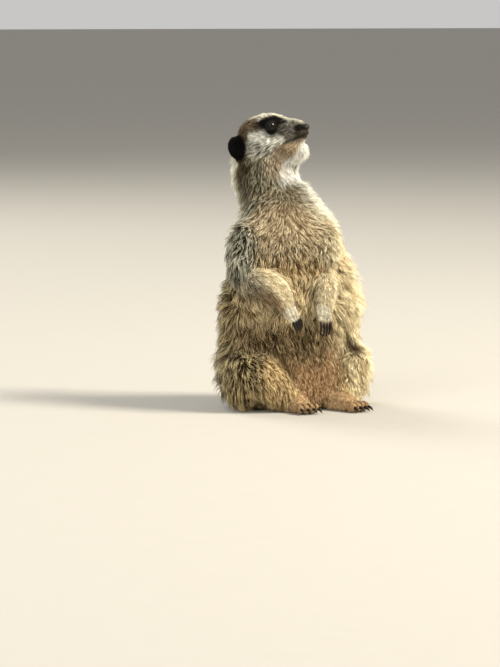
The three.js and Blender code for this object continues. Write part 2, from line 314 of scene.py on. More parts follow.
def baked(obj: bpy.types.Object) -> bpy.types.Object:
    """Turns an object's live modifiers into plain mesh.

    Args:
        obj: the object, whose modifiers are removed.

    Returns:
        The same object.
    """
    graph = bpy.context.evaluated_depsgraph_get()
    mesh = bpy.data.meshes.new_from_object(obj.evaluated_get(graph))
    obj.modifiers.clear()
    old, obj.data = obj.data, mesh
    bpy.data.meshes.remove(old)
    return obj


def set_values(mesh: bpy.types.Mesh, name: str, values: np.ndarray) -> None:
    """Stores one number or one colour at each vertex of a mesh.

    Args:
        mesh: the mesh.
        name: the attribute's name.
        values: one number, or one red, green and blue, for each vertex.
    """
    if values.ndim == 1:
        mesh.attributes.new(name, "FLOAT", "POINT").data.foreach_set("value", values.astype(np.float32))
        return
    rgba = np.ones((len(values), 4), dtype=np.float32)
    rgba[:, :3] = values
    mesh.attributes.new(name, "FLOAT_COLOR", "POINT").data.foreach_set("color", rgba.ravel())


@dataclass
class Surface:
    """A triangle surface in mm, with sums over its neighbouring points."""

    points: np.ndarray
    tris: np.ndarray

    def __post_init__(self) -> None:
        """Finds the edges and how many meet at each point."""
        pairs = np.sort(np.vstack([self.tris[:, [0, 1]], self.tris[:, [1, 2]], self.tris[:, [2, 0]]]), axis=1)
        self.edges = np.unique(pairs, axis=0)
        self.degree = np.maximum(np.bincount(self.edges.ravel(), minlength=len(self.points)), 1)

    @classmethod
    def of(cls, mesh: bpy.types.Mesh) -> "Surface":
        """The surface of a Blender mesh."""
        co, tris = read_mesh(mesh)
        return cls(co / MM, tris)

    def write(self, mesh: bpy.types.Mesh) -> None:
        """Moves a mesh's points to this surface's."""
        mesh.vertices.foreach_set("co", (self.points * MM).astype(np.float32).ravel())
        mesh.update()

    def tree(self) -> BVHTree:
        """A tree that finds the nearest place on the surface."""
        return BVHTree.FromPolygons(self.points.tolist(), self.tris.tolist())

    def around(self, values: np.ndarray) -> np.ndarray:
        """The mean of each point's neighbours.

        Args:
            values: one or more numbers for each point.

        Returns:
            An array of the same shape.
        """
        flat = values.reshape(len(values), -1)
        a, b = self.edges.T
        out = np.empty_like(flat, dtype=float)
        for k in range(flat.shape[1]):
            out[:, k] = np.bincount(a, flat[b, k], len(flat)) + np.bincount(b, flat[a, k], len(flat))
        return (out / self.degree[:, None]).reshape(values.shape)

    def smooth(self, values: np.ndarray, rounds: int, share: float = 0.5) -> np.ndarray:
        """Values evened out over the surface.

        Args:
            values: one or more numbers for each point.
            rounds: how many times they are evened out.
            share: how far each goes to its neighbours' mean.

        Returns:
            The evened values.
        """
        for _ in range(rounds):
            values = values + (self.around(values) - values) * share
        return values

    def face_normals(self) -> np.ndarray:
        """Each triangle's normal, as long as twice its area."""
        a, b, c = (self.points[self.tris[:, k]] for k in range(3))
        return np.cross(b - a, c - a)

    def normals(self) -> np.ndarray:
        """The unit normal at each point."""
        flat = self.face_normals()
        out = np.zeros_like(self.points)
        for k in range(3):
            for axis in range(3):
                out[:, axis] += np.bincount(self.tris[:, k], flat[:, axis], len(out))
        return unit(out)


class NodeFinder:
    """Finds which CAD node lies nearest to a point."""

    def __init__(self, names: Sequence[str]) -> None:
        """Gathers the nodes' surfaces.

        Args:
            names: the nodes to look among.
        """
        self.names = tuple(names)
        self.zone = np.array([ZONES.index(Zone.of(name)) for name in names])
        parts = [node_triangles(name) for name in names]
        self.owner = np.repeat(np.arange(len(parts)), [len(tris) for _, tris in parts])
        self.tree = Surface(*merged(parts)).tree()

    def nodes(self, points: np.ndarray) -> np.ndarray:
        """The index in names of the node nearest to each point."""
        return np.array([self.owner[self.tree.find_nearest(p)[2]] for p in points.tolist()])

    def zones(self, points: np.ndarray) -> np.ndarray:
        """The index in ZONES of the zone nearest to each point."""
        return self.zone[self.nodes(points)]


@dataclass(frozen=True)
class EyeShape:
    """One eye in the head's own frame, in mm, and the opening between its lids, in degrees from its gaze."""

    side: Side
    out: float = 12.9
    front: float = -13.9
    up: float = 9.8
    radius: float = 5.4
    gaze: Triple = (0.9, -0.42, 0.06)
    half_wide: float = 52.0
    half_tall: float = 42.0

    @property
    def centre(self) -> np.ndarray:
        """The ball's centre."""
        return np.array([self.side.value * self.out, self.front, self.up])

    def axes(self) -> np.ndarray:
        """The gaze, the way to the inner corner and the way to the upper lid, as the rows of an array."""
        ahead = unit(np.array(self.gaze) * [self.side.value, 1, 1])
        inward = np.array([0.0, -1.0, 0.12])
        inward = unit(inward - ahead * (inward @ ahead))
        over = np.cross(ahead, inward)
        return np.array([ahead, inward, over if over[2] > 0 else -over])

    def opening(self, offsets: np.ndarray) -> np.ndarray:
        """How far points lie from the gaze, as a share of the way to the lids' edge.

        Args:
            offsets: points from the ball's centre, in the head's frame.

        Returns:
            0 on the gaze, 1 at the edge of the lids, and more beyond it.
        """
        ahead, inward, over = (unit(offsets) @ self.axes().T).T
        turned = np.arccos(np.clip(ahead, -1, 1))
        flat = np.maximum(np.hypot(inward, over), 1e-6)
        wide = np.degrees(turned) * inward / flat / self.half_wide
        tall = np.degrees(turned) * over / flat / self.half_tall
        return np.hypot(wide, tall)


EYE_SHAPES = tuple(EyeShape(side) for side in Side)


@dataclass(frozen=True)
class CoatKind:
    """How a zone's hair grows: in mm, degrees and tufts in a square mm, and clump as a share."""

    depth: float
    length: float
    width: float
    lift: float
    density: float
    clump: float
    stray: float


COATS: dict[Zone, CoatKind] = {
    Zone.HEAD: CoatKind(0.9, 4.6, 0.44, 24, 2.4, 0.15, 7),
    Zone.EAR: CoatKind(0.1, 1.6, 0.36, 22, 2.4, 0.0, 8),
    Zone.NECK: CoatKind(2.8, 9.5, 0.5, 29, 1.35, 0.3, 11),
    Zone.TRUNK: CoatKind(6.4, 15.0, 0.58, 34, 0.9, 0.5, 18),
    Zone.UPPER_ARM: CoatKind(4.6, 12.5, 0.56, 26, 1.05, 0.45, 15),
    Zone.FOREARM: CoatKind(1.3, 6.0, 0.42, 19, 2.1, 0.12, 7),
    Zone.FOREPAW: CoatKind(0.35, 3.4, 0.38, 17, 2.5, 0.1, 6),
    Zone.THIGH: CoatKind(6.8, 16.0, 0.58, 35, 1.0, 0.55, 24),
    Zone.SHANK: CoatKind(3.2, 10.5, 0.54, 29, 1.2, 0.45, 18),
    Zone.HIND_FOOT: CoatKind(0.4, 2.8, 0.38, 16, 2.5, 0.05, 7),
    Zone.TAIL: CoatKind(2.0, 7.5, 0.58, 28, 1.05, 0.2, 10),
}
DEPTH, LENGTH, WIDTH, LIFT, DENSITY, CLUMP, STRAY, SIDE = range(8)


def coat_table() -> np.ndarray:
    """The coat's numbers, a row for each zone in the order of ZONES."""
    return np.array([astuple(COATS[z]) for z in ZONES])


def vary(numbers: np.ndarray, share: np.ndarray, changes: dict[int, float]) -> None:
    """Scales some of the coat's numbers.

    Args:
        numbers: rows of the coat's numbers, changed in place.
        share: how much of the change each row gets.
        changes: how far each number changes at a full share, by its place in a row.
    """
    for number, change in changes.items():
        numbers[:, number] *= 1 + change * share


@dataclass(frozen=True)
class Mouth:
    """The line of the closed mouth in the head's frame, from its front to its corner, in mm."""

    line: tuple[Triple, ...] = (
        (0.0, -43.5, -3.6), (3.2, -39.8, -4.6), (5.6, -35.2, -5.9),
        (7.2, -31.3, -6.6), (10.7, -25.2, -7.6), (13.8, -20.2, -8.6),
    )
    depth: float = 1.1
    width: float = 1.1

    def distance(self, h: np.ndarray) -> np.ndarray:
        """How far points of the head lie from the mouth's line, on either side."""
        return line_gap(self.line, np.abs(h) * [1, 0, 0] + h * [0, 1, 1])


class Digits:
    """The lines of the digits, each from its claw back over the foot, in mm."""

    def __init__(self) -> None:
        """Finds where each foot's claws are rooted, and the way its digits run."""
        self.feet: list[tuple[np.ndarray, np.ndarray]] = []
        for foot in sorted({name[: name.index("_claw_") + 7] for name in CLAWS}):
            claws = [node_triangles(name)[0] for name in CLAWS if name.startswith(foot)]
            ahead = np.zeros(3)
            for points in claws:
                way = main_way(points)
                ahead += way if way[1] < 0 else -way
            ahead = unit(ahead * ([1, 1, 0] if foot.startswith("hind") else [1, 1, 1]))
            self.feet.append((np.array([points[(points @ ahead).argmin()] for points in claws]), ahead))

    def gaps(self, points: np.ndarray) -> np.ndarray:
        """How far points lie in the gaps between two digits, 0 to 1."""
        out = np.zeros(len(points))
        for bases, ahead in self.feet:
            offset = points[:, None] - bases[None]
            along = offset @ ahead
            gap = np.sort(np.linalg.norm(offset - along[:, :, None] * ahead, axis=2), axis=1)
            reach = step(-17, -9, along.max(axis=1)) * step(6, 4, gap[:, 0]) * step(7, 3, along.min(axis=1))
            out = np.maximum(out, step(0.55, 0.9, gap[:, 0] / np.maximum(gap[:, 1], 0.1)) * reach)
        return out


@dataclass
class Skin:
    """The one skin over all the flesh, inside the CAD outline by the coat's depth."""

    voxel: float = 1.5
    swell: float = 0.35
    fine: tuple[Zone, ...] = (Zone.HEAD, Zone.EAR, Zone.FOREPAW, Zone.HIND_FOOT)
    fine_rounds: int = 3
    blend_rounds: int = 26
    fill_rounds: int = 150
    fill_share: float = 0.8
    ease: Pair = (0.55, -0.52)
    regrow: float = 1.03
    off_floor: float = 0.25
    ear_rounds: int = 8
    toe_reach: float = 2.6
    toe_inset: float = 0.3
    nose_tip: Triple = (0.0, -46.0, 1.5)
    finder: NodeFinder = field(default_factory=lambda: NodeFinder(FLESH + EYES + ("nose",)))
    digit_lines: Digits = field(default_factory=Digits)
    groove: float = 0.7
    obj: Optional[bpy.types.Object] = None
    surface: Optional[Surface] = None

    def __post_init__(self) -> None:
        """Prepares the tree of the claws' points."""
        self.claws = point_tree(np.vstack([node_triangles(name)[0] for name in CLAWS]))

    def build(self) -> bpy.types.Object:
        """Joins, evens, thins and sculpts the flesh.

        Returns:
            The skin, with its map.
        """
        whole = self.joined()
        shape = Surface.of(whole.data)
        zones = self.finder.zones(shape.points)
        weights = shape.smooth(np.eye(len(ZONES))[zones], 6)
        rounds = weights @ np.array([self.fine_rounds if z in self.fine else self.blend_rounds for z in ZONES])
        even = shape.points
        for turn in range(self.blend_rounds):
            for share in self.ease:
                moved = even + (shape.around(even) - even) * share
                even = np.where((rounds > turn)[:, None], moved, even)
        shape.points = even
        shape.points = self.filled(shape, weights)
        depth = shape.smooth(self.numbers(shape.points, weights)[:, DEPTH], 6)
        inward = shape.smooth(shape.normals(), 3)
        shape.points = shape.points - unit(inward) * depth[:, None]
        shape.write(whole.data)
        self.voxelise(whole, self.voxel * self.regrow)
        self.refine(whole)
        shape = Surface.of(whole.data)
        shape.points = self.drawn_to_toes(shape)
        shape.points = self.sculpted(shape)
        shape.points[:, 2] = np.maximum(shape.points[:, 2], self.off_floor)
        shape.write(whole.data)
        self.obj, self.surface = whole, shape
        self.unwrap()
        return whole

    def filled(self, shape: Surface, weights: np.ndarray) -> np.ndarray:
        """Fills the creases between the parts of the body, and leaves what bulges.

        Args:
            shape: the evened flesh.
            weights: how much of each zone each point has.

        Returns:
            The moved points.
        """
        share = part_of(weights, Zone.TRUNK, Zone.THIGH, Zone.SHANK, Zone.UPPER_ARM, Zone.NECK) ** 2
        throat = HEAD.to_head(shape.points)
        share = np.maximum(share, step(-9, -14, throat[:, 2]) * step(-40, -30, throat[:, 1]))
        normals = shape.smooth(shape.normals(), 4)
        out = shape.points
        for _ in range(self.fill_rounds):
            rise = ((shape.around(out) - out) * normals).sum(axis=1)
            out = out + normals * (np.maximum(rise, 0) * share * self.fill_share)[:, None]
        return out

    def drawn_to_toes(self, shape: Surface) -> np.ndarray:
        """Lays the skin of the ears and of the toes back onto their solids, so that they keep their shape.

        Args:
            shape: the skin.

        Returns:
            The moved points.
        """
        zones = self.finder.zones(shape.points)
        wanted = np.isin(zones, [ZONES.index(z) for z in (Zone.EAR, Zone.FOREPAW, Zone.HIND_FOOT)])
        share = shape.smooth(wanted.astype(float), 4) * wanted
        out = shape.points.copy()
        for i in np.flatnonzero(share > 0.02):
            near, normal, _, gap = self.finder.tree.find_nearest(out[i].tolist())
            if gap < self.toe_reach:
                goal = np.array(near) - np.array(normal) * self.toe_inset
                out[i] += (goal - out[i]) * share[i]
        ear = (zones == ZONES.index(Zone.EAR))[:, None]
        calm = np.where(ear, shape.smooth(out, self.ear_rounds), shape.smooth(out, 1, 0.35))
        toes = wanted & ~ear[:, 0]
        normals = shape.smooth(shape.normals(), 1)
        calm -= normals * (self.groove * self.digit_lines.gaps(calm) * toes)[:, None]
        return np.where(wanted[:, None], calm, out)

    def joined(self) -> bpy.types.Object:
        """The flesh nodes and eyeballs as one closed surface, before it is thinned."""
        parts = [Surface(*node_triangles(name)) for name in FLESH + EYES + ("nose",)]
        obj = new_object("skin", *merged([(part.points + part.normals() * self.swell, part.tris) for part in parts]))
        self.voxelise(obj, self.voxel)
        return obj

    def voxelise(self, obj: bpy.types.Object, size: float) -> None:
        """Rebuilds an object as one even closed surface.

        Args:
            obj: the object.
            size: the new faces' size in mm.
        """
        remesh = obj.modifiers.new("even", "REMESH")
        remesh.mode = "VOXEL"
        remesh.voxel_size = size * MM
        remesh.use_smooth_shade = True
        baked(obj)

    def refine(self, obj: bpy.types.Object) -> None:
        """Splits the faces of the face, the ears and the toes once, for their finer shapes."""
        work = bmesh.new()
        work.from_mesh(obj.data)
        co = np.array([v.co for v in work.verts]) / MM
        h = HEAD.to_head(co)
        near = (h[:, 1] < -4) & (h[:, 2] > -24) & (np.abs(h[:, 0]) < 26) & (h[:, 1] > -60)
        for name in [n for n in FLESH if n.startswith(("forepaw", "hind_foot", "ear"))]:
            low, high = (np.array(v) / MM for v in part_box(name))
            if name.startswith("hind_foot"):
                high = np.array([high[0], low[1] + 24.0, high[2]])
            near |= ((co > low - 1.0) & (co < high + 1.0)).all(axis=1)
        edges = [e for e in work.edges if near[e.verts[0].index] or near[e.verts[1].index]]
        bmesh.ops.subdivide_edges(work, edges=edges, cuts=1, use_grid_fill=True)
        bmesh.ops.triangulate(work, faces=[f for f in work.faces if len(f.verts) > 3])
        work.to_mesh(obj.data)
        work.free()
        obj.data.update()

    def numbers(self, points: np.ndarray, weights: np.ndarray) -> np.ndarray:
        """The coat's numbers at points of the skin.

        Args:
            points: the points, in the model's frame.
            weights: how much of each zone each point has.

        Returns:
            A row for each point, in the order of DEPTH to STRAY.
        """
        out = weights @ coat_table()
        self.vary_head(out, HEAD.to_head(points), part_of(weights, Zone.HEAD))
        self.vary_body(out, points, weights)
        return out

    def vary_head(self, out: np.ndarray, h: np.ndarray, on_head: np.ndarray) -> None:
        """Makes hair short on the muzzle and by the ears, and long on the cheeks and the throat.

        Args:
            out: rows of the coat's numbers, changed in place.
            h: the points in the head's frame.
            on_head: how much of the head each has.
        """
        side, (_, y, z) = np.abs(h[:, 0]), h.T
        far = away(h, self.nose_tip)
        back = step(26, 52, far)
        under = step(-8, -18, z) * step(-42, -26, y)
        cheek = step(24, 38, far) * step(4, -6, z)
        muzzle = step(27, 12, far)
        grown = 0.6 + 0.35 * back + 0.95 * cheek + 1.1 * under
        deep = 0.5 + 0.9 * back + 1.3 * under + 0.9 * cheek
        out[:, LENGTH] *= 1 + on_head * (grown * (1 - 0.5 * muzzle) - 1)
        out[:, DEPTH] *= 1 + on_head * (deep * (1 - 0.6 * muzzle) - 1)
        out[:, WIDTH] *= 1 + on_head * (0.85 + 0.2 * back + 0.3 * cheek + 0.25 * under - 1)
        out[:, DENSITY] *= 1 + on_head * (1.25 - 0.5 * np.maximum(cheek, under) - 1)
        out[:, CLUMP] += on_head * 0.3 * np.maximum(cheek, under)
        by_ear = step(20, 12, np.hypot(y - 17.0, z + 1.5)) * step(12, 17, side)
        vary(out, by_ear, {LENGTH: -0.55, LIFT: -0.45})
        jaw = on_head * under * step(3.0, 6.0, np.abs(h[:, 0] - 4.5)) * step(2, -12, y)
        vary(out, jaw, {LENGTH: -0.4, WIDTH: -0.25, DENSITY: 0.4})

    def vary_body(self, out: np.ndarray, points: np.ndarray, weights: np.ndarray) -> None:
        """Thins the coat of the chest, the groin and the digits, and lengthens it on the flank and the elbows.

        Args:
            out: rows of the coat's numbers, changed in place.
            points: the points, in the model's frame.
            weights: how much of each zone each point has.
        """
        x, y, z = points.T
        trunk = part_of(weights, Zone.TRUNK)
        chest = trunk * step(96, 150, z) * step(14, -12, y)
        groin = (trunk + part_of(weights, Zone.SHANK) * 0.5) * step(86, 36, z) * step(-26, -36, y)
        groin *= step(-52, -40, x) * step(34, 24, x)
        collar = trunk * step(166, 192, z)
        vary(out, np.clip(0.34 * chest + 0.66 * groin + 0.3 * collar, 0, 1), {LENGTH: -1.0, DEPTH: -0.6})
        out[:, WIDTH] *= 1 - 0.18 * chest - 0.42 * groin - 0.12 * collar
        out[:, DENSITY] *= 1 + 0.25 * chest + 1.0 * groin + 0.15 * collar
        out[:, CLUMP] *= 1 - 0.35 * chest - 0.5 * groin
        out[:, STRAY] *= 1 - 0.35 * chest - 0.4 * groin
        flank = trunk * step(30, 44, points @ np.array([0.87, -0.5, 0.0])) * step(84, 100, z) * step(160, 140, z)
        out[:, DEPTH] += 3.5 * flank
        vary(out, flank, {LENGTH: 0.42, WIDTH: -0.12, LIFT: 0.22, STRAY: 0.5})
        vary(out, self.digits(points, weights), {LENGTH: -0.4, LIFT: -0.5, WIDTH: -0.15})
        vary(out, part_of(weights, Zone.FOREARM) * step(104, 120, z), {LENGTH: 0.35, DEPTH: 0.6})

    def digits(self, points: np.ndarray, weights: np.ndarray) -> np.ndarray:
        """How far points belong to a digit, by how near they lie to a claw, 0 to 1."""
        feet = part_of(weights, Zone.FOREPAW, Zone.HIND_FOOT)
        gap = np.full(len(points), np.inf)
        near = np.flatnonzero(feet > 0.05)
        gap[near] = [self.claws.find(p)[2] for p in points[near].tolist()]
        return feet * step(9.0, 4.5, gap)

    def sculpted(self, shape: Surface) -> np.ndarray:
        """Adds the lids, the mouth and the nose's bed to the thinned skin."""
        h = HEAD.to_head(shape.points)
        near = (h[:, 1] < 4) & (h[:, 2] > -30) & (h[:, 1] > -60) & (np.abs(h[:, 0]) < 30)
        normals = shape.normals() @ HEAD.turn()
        line = Mouth()
        gap = line.distance(h)
        corner = step(-18.5, -25, h[:, 1])
        h = h - normals * (line.depth * np.exp(-((gap / line.width) ** 2)) * near * corner)[:, None]
        far = np.linalg.norm((h - np.array(NOSE.at)) / np.array(NOSE.radii), axis=1)
        bed = step(1.7, 1.15, far) * near * step(2.0, 0.5, h[:, 1] - NOSE.at[1])
        h = h + (h - np.array(NOSE.at)) * ((0.94 / np.maximum(far, 0.94) - 1) * bed)[:, None]
        for eye in EYE_SHAPES:
            h = self.with_lids(h, near, eye)
        return HEAD.to_model(h)

    def with_lids(self, h: np.ndarray, near: np.ndarray, eye: EyeShape) -> np.ndarray:
        """Draws the skin round one eye into lids that lie on the ball.

        Args:
            h: the skin's points in the head's frame.
            near: which of them belong to the face.
            eye: the eye.

        Returns:
            The moved points.
        """
        offset = h - eye.centre
        far = np.linalg.norm(offset, axis=1)
        share = eye.opening(offset)
        mine = near & (unit(offset) @ eye.axes()[0] > -0.1) & (far < eye.radius * 2.6)
        open_to = eye.radius * (0.72 + 0.26 * step(0.7, 1.0, share))
        rim = eye.radius + 0.3 + 0.28 * np.exp(-(((share - 1.12) / 0.12) ** 2)) + 0.15 * step(1.3, 1.9, share)
        is_open = share < 1.0
        blend = step(2.3, 1.3, share)
        wanted = np.where(is_open, open_to, far * (1 - blend) + rim * blend)
        wanted = np.where(~is_open & (far < rim), rim, wanted)
        moved = eye.centre + unit(offset) * wanted[:, None]
        return np.where(mine[:, None], moved, h)

    def unwrap(self) -> None:
        """Lays the skin out flat on its own map."""
        obj = self.obj
        layer = obj.data.uv_layers.new(name="OFBake")
        obj.data.uv_layers.active = layer
        bpy.context.view_layer.objects.active = obj
        obj.select_set(True)
        bpy.ops.object.mode_set(mode="EDIT")
        bpy.ops.mesh.select_all(action="SELECT")
        bpy.ops.uv.smart_project(angle_limit=math.radians(72), island_margin=0.002, scale_to_bounds=True)
        bpy.ops.object.mode_set(mode="OBJECT")
        obj.select_set(False)


@dataclass(frozen=True)
class Pelage:
    """The colours of a hair, as 0 to 255: at its root, along its body and at its tip, and how many tips are pale."""

    root: Colour
    body: Colour
    tip: Colour
    frost: float = 0.4

    def row(self) -> np.ndarray:
        """The three colours in linear light and the share of pale tips, as ten numbers."""
        return np.concatenate([linear(*self.root), linear(*self.body), linear(*self.tip), [self.frost]])


class Patch(Enum):
    """The stretches of colour that the coat has; a few of them are painted light and painted shade."""

    BACK = Pelage((70, 60, 40), (142, 132, 104), (224, 220, 192), 0.5)
    BAND = Pelage((44, 34, 20), (86, 70, 46), (168, 150, 112), 0.3)
    FLANK = Pelage((26, 18, 7), (84, 66, 36), (242, 222, 170), 0.46)
    HAUNCH_TOP = Pelage((60, 44, 22), (182, 160, 114), (254, 246, 212), 0.76)
    HAUNCH_LOW = Pelage((48, 33, 15), (128, 100, 60), (244, 218, 164), 0.52)
    SHOULDER = Pelage((40, 35, 24), (94, 90, 70), (224, 221, 200), 0.46)
    CHEST = Pelage((134, 109, 78), (198, 175, 137), (240, 227, 193), 0.5)
    CHEST_LOW = Pelage((84, 61, 36), (146, 117, 80), (208, 180, 132), 0.4)
    BELLY_TOP = Pelage((112, 88, 52), (204, 180, 134), (250, 232, 188), 0.65)
    BELLY = Pelage((46, 34, 17), (106, 85, 54), (210, 186, 142), 0.38)
    GROIN = Pelage((132, 94, 60), (206, 163, 115), (246, 216, 170), 0.6)
    LIT_FLANK = Pelage((178, 153, 106), (239, 220, 172), (254, 243, 208), 0.72)
    FOREARM = Pelage((180, 158, 118), (230, 212, 172), (252, 242, 210), 0.6)
    FOREARM_UNDER = Pelage((84, 62, 34), (132, 104, 68), (190, 162, 120), 0.25)
    PAW = Pelage((204, 190, 158), (251, 243, 218), (255, 253, 240), 0.75)
    TOE_END = Pelage((60, 48, 36), (104, 88, 68), (160, 142, 114), 0.2)
    SHANK = Pelage((98, 74, 40), (188, 156, 106), (246, 222, 170), 0.6)
    FOOT = Pelage((150, 116, 78), (214, 180, 134), (248, 222, 178), 0.5)
    NECK = Pelage((66, 58, 42), (106, 98, 78), (180, 176, 152), 0.34)
    NAPE = Pelage((142, 134, 106), (224, 218, 192), (252, 250, 236), 0.85)
    BEHIND_EAR = Pelage((40, 29, 15), (76, 60, 40), (118, 98, 70), 0.12)
    WHITE = Pelage((222, 216, 198), (249, 247, 236), (254, 254, 250), 0.8)
    CHIN = Pelage((134, 112, 84), (182, 158, 126), (222, 206, 176), 0.42)
    CHEEK = Pelage((82, 76, 62), (158, 154, 137), (244, 242, 230), 0.56)
    BROW = Pelage((140, 130, 104), (214, 208, 186), (242, 240, 220), 0.55)
    CROWN = Pelage((50, 37, 23), (96, 79, 57), (172, 158, 130), 0.22)
    UNDER_EYE = Pelage((196, 192, 172), (246, 245, 232), (254, 254, 246), 0.8)
    MUZZLE = Pelage((52, 47, 39), (114, 110, 99), (204, 199, 184), 0.42)
    SNOUT = Pelage((16, 12, 9), (28, 22, 17), (56, 46, 36), 0.08)
    LIP = Pelage((38, 29, 21), (66, 53, 41), (108, 92, 74), 0.15)
    MUZZLE_TIP = Pelage((50, 42, 34), (84, 74, 62), (124, 112, 96), 0.2)
    EYE_PATCH = Pelage((8, 7, 5), (16, 14, 11), (50, 44, 36), 0.07)
    LID = Pelage((36, 31, 28), (44, 38, 34), (58, 50, 45), 0.1)
    EAR = Pelage((3, 2, 2), (4, 3, 3), (12, 10, 8), 0.05)
    TAIL = Pelage((100, 80, 52), (170, 146, 106), (224, 204, 160), 0.45)
    TAIL_TIP = Pelage((20, 15, 9), (42, 31, 20), (78, 62, 44), 0.1)


PATCHES = list(Patch)


@dataclass
class Markings:
    """The coat's pattern at some points, with painted light and shade laid over it, in mm: the face in the head's frame
    and mirrored, the body in the model's.
    """

    points: np.ndarray
    normals: np.ndarray
    weights: np.ndarray
    eye_patch: tuple[Pair, ...] = (
        (-4.6, 13.0), (-6.2, 16.2), (-11.5, 18.2), (-18.3, 18.0), (-23.6, 15.6), (-28.4, 10.6), (-25.8, 7.1),
        (-22.3, 3.5), (-19.0, 0.2), (-16.1, 0.2), (-13.6, 2.8), (-11.2, 1.8), (-8.0, 2.8), (-4.0, 5.8),
    )
    under_eye: tuple[Pair, ...] = ((1.5, 5.2), (-3.0, 3.0), (-9.4, -0.2), (-15.6, -2.2), (-22.0, -4.4))
    arm_groove: tuple[Triple, ...] = (
        (5.4, -28.8, 160.0), (1.0, -36.2, 145.0), (-3.0, -39.3, 134.0), (-5.3, -43.3, 120.0), (-6.3, -45.0, 106.0),
    )
    thigh_groove: tuple[Triple, ...] = ((-40.0, -37.5, 56.0), (-33.0, -41.0, 44.0), (-25.0, -43.5, 31.0))
    pink_spot: Triple = (14.0, -46.0, 40.0)
    knee_spot: Triple = (38.0, -42.0, 65.0)
    lit_way: Triple = (0.92, -0.4, 0.0)
    band_gap: float = 15.0
    band_heights: Pair = (30.0, 165.0)

    def __post_init__(self) -> None:
        """Starts with the flank's colours everywhere."""
        self.head = HEAD.to_head(self.points)
        self.shares = np.zeros((len(self.points), len(PATCHES)))
        self.lay(Patch.FLANK, np.ones(len(self.points)))

    def rows(self) -> np.ndarray:
        """The colours at the points.

        Returns:
            A row for each point: root, body and tip colours in linear light, and the share of pale tips.
        """
        self.paint_body()
        self.paint_limbs()
        self.paint_neck()
        self.paint_head()
        self.lay(Patch.EAR, self.on(Zone.EAR))
        return self.shares @ np.array([patch.value.row() for patch in PATCHES])

    def on(self, zone: Zone) -> np.ndarray:
        """How much of a zone each point has."""
        return part_of(self.weights, zone)

    def lay(self, patch: Patch, mask: np.ndarray) -> None:
        """Lays one patch over what is there.

        Args:
            patch: the patch to lay.
            mask: how much of it covers each point, 0 to 1.
        """
        self.shares *= 1 - mask[:, None]
        self.shares[:, PATCHES.index(patch)] += mask

    def paint_body(self) -> None:
        """Colours the trunk, the thighs and the upper arms, with painted light on the sides that face the lamps and
        painted shade in the creases.
        """
        p, n, lay = self.points, self.normals, self.lay
        trunk, thigh, arm, z = self.on(Zone.TRUNK), self.on(Zone.THIGH), self.on(Zone.UPPER_ARM), p[:, 2]
        front, back = step(0.05, 0.6, -n[:, 1]), step(0.0, 0.6, n[:, 1])
        body = (trunk + thigh).clip(0, 1)
        low, high = self.band_heights
        bands = np.cos((z + 0.22 * np.abs(p[:, 0])) * 2 * math.pi / self.band_gap)
        bands = step(0.15, 0.9, bands) * step(low, low + 20, z) * step(high, high - 25, z)
        lay(Patch.SHOULDER, step(120, 165, z) * trunk)
        lay(Patch.BACK, back * body)
        lay(Patch.BAND, 0.8 * bands * back * trunk)
        lay(Patch.CHEST, front * trunk * step(118, 160, z))
        lay(Patch.CHEST_LOW, front * trunk * step(150, 118, z))
        lay(Patch.BELLY_TOP, front * trunk * step(132, 116, z))
        lay(Patch.BELLY, front * trunk * step(88, 76, z))
        lay(Patch.GROIN, 0.8 * front * trunk * step(60, 28, z))
        lay(Patch.GROIN, 0.8 * step(20, 8, away(p, self.pink_spot, (1.5, 1.0, 0.6))) * trunk)
        lit = step(0.35, 0.85, facing(n, 0.85, -0.45, 0.1)) * step(2, 20, p[:, 0])
        lay(Patch.HAUNCH_TOP, thigh * step(58, 90, z) * (1 - back) * 0.75)
        lay(Patch.HAUNCH_LOW, thigh * step(40, 14, z) * (1 - back) * 0.7)
        lay(Patch.LIT_FLANK, 0.85 * lit * body)
        lay(Patch.LIT_FLANK, 0.95 * self.lit_leg() * (thigh + self.on(Zone.SHANK)).clip(0, 1))
        # Painted shade: a dark spot in the hollow above the left knee.
        lay(Patch.BEHIND_EAR, 0.92 * step(14, 8, away(p, self.knee_spot, (1.2, 1.0, 0.65))))
        lay(Patch.SHOULDER, arm)
        lay(Patch.LIT_FLANK, 0.85 * (arm + 0.6 * self.on(Zone.FOREARM)) * step(3, 10, p[:, 0]))
        # Painted shade in the groove between the arm and the chest.
        lay(Patch.BELLY, 0.6 * step(5.5, 2.0, line_gap(self.arm_groove, p)))
        # Painted shade in the fold along the inner side of the thigh.
        lay(Patch.BEHIND_EAR, 0.6 * step(4.5, 1.5, line_gap(self.thigh_groove, p)))
        # Painted rim light: the upper trunk's side that faces the key lamp gets pale nape and white colours.
        rim = step(0.35, 0.8, facing(n, *self.lit_way))
        lay(Patch.NECK, 0.75 * trunk * step(172, 190, z) * (1 - back))
        lay(Patch.NAPE, 0.7 * rim * trunk * step(146, 172, z))
        lay(Patch.WHITE, 0.5 * rim * trunk * step(170, 194, z))
        # Painted rim light on the upper back's outline that faces the rim lamp.
        lay(Patch.NAPE, 0.7 * step(0.7, 0.95, facing(n, -0.8, 0.6, 0.0)) * trunk * step(140, 165, z))

    def lit_leg(self) -> np.ndarray:
        """How far the points lie on the outer side of the left leg, where pale colour is painted for the key lamp's
        light, 0 to 1.
        """
        return step(18, 30, self.points[:, 0]) * step(0.6, -0.1, self.normals[:, 1]) * step(62, 54, self.points[:, 2])

    def paint_limbs(self) -> None:
        """Colours the forearms, the shanks, the feet and the tail."""
        forearm, lay = self.on(Zone.FOREARM), self.lay
        lay(Patch.FOREARM, forearm)
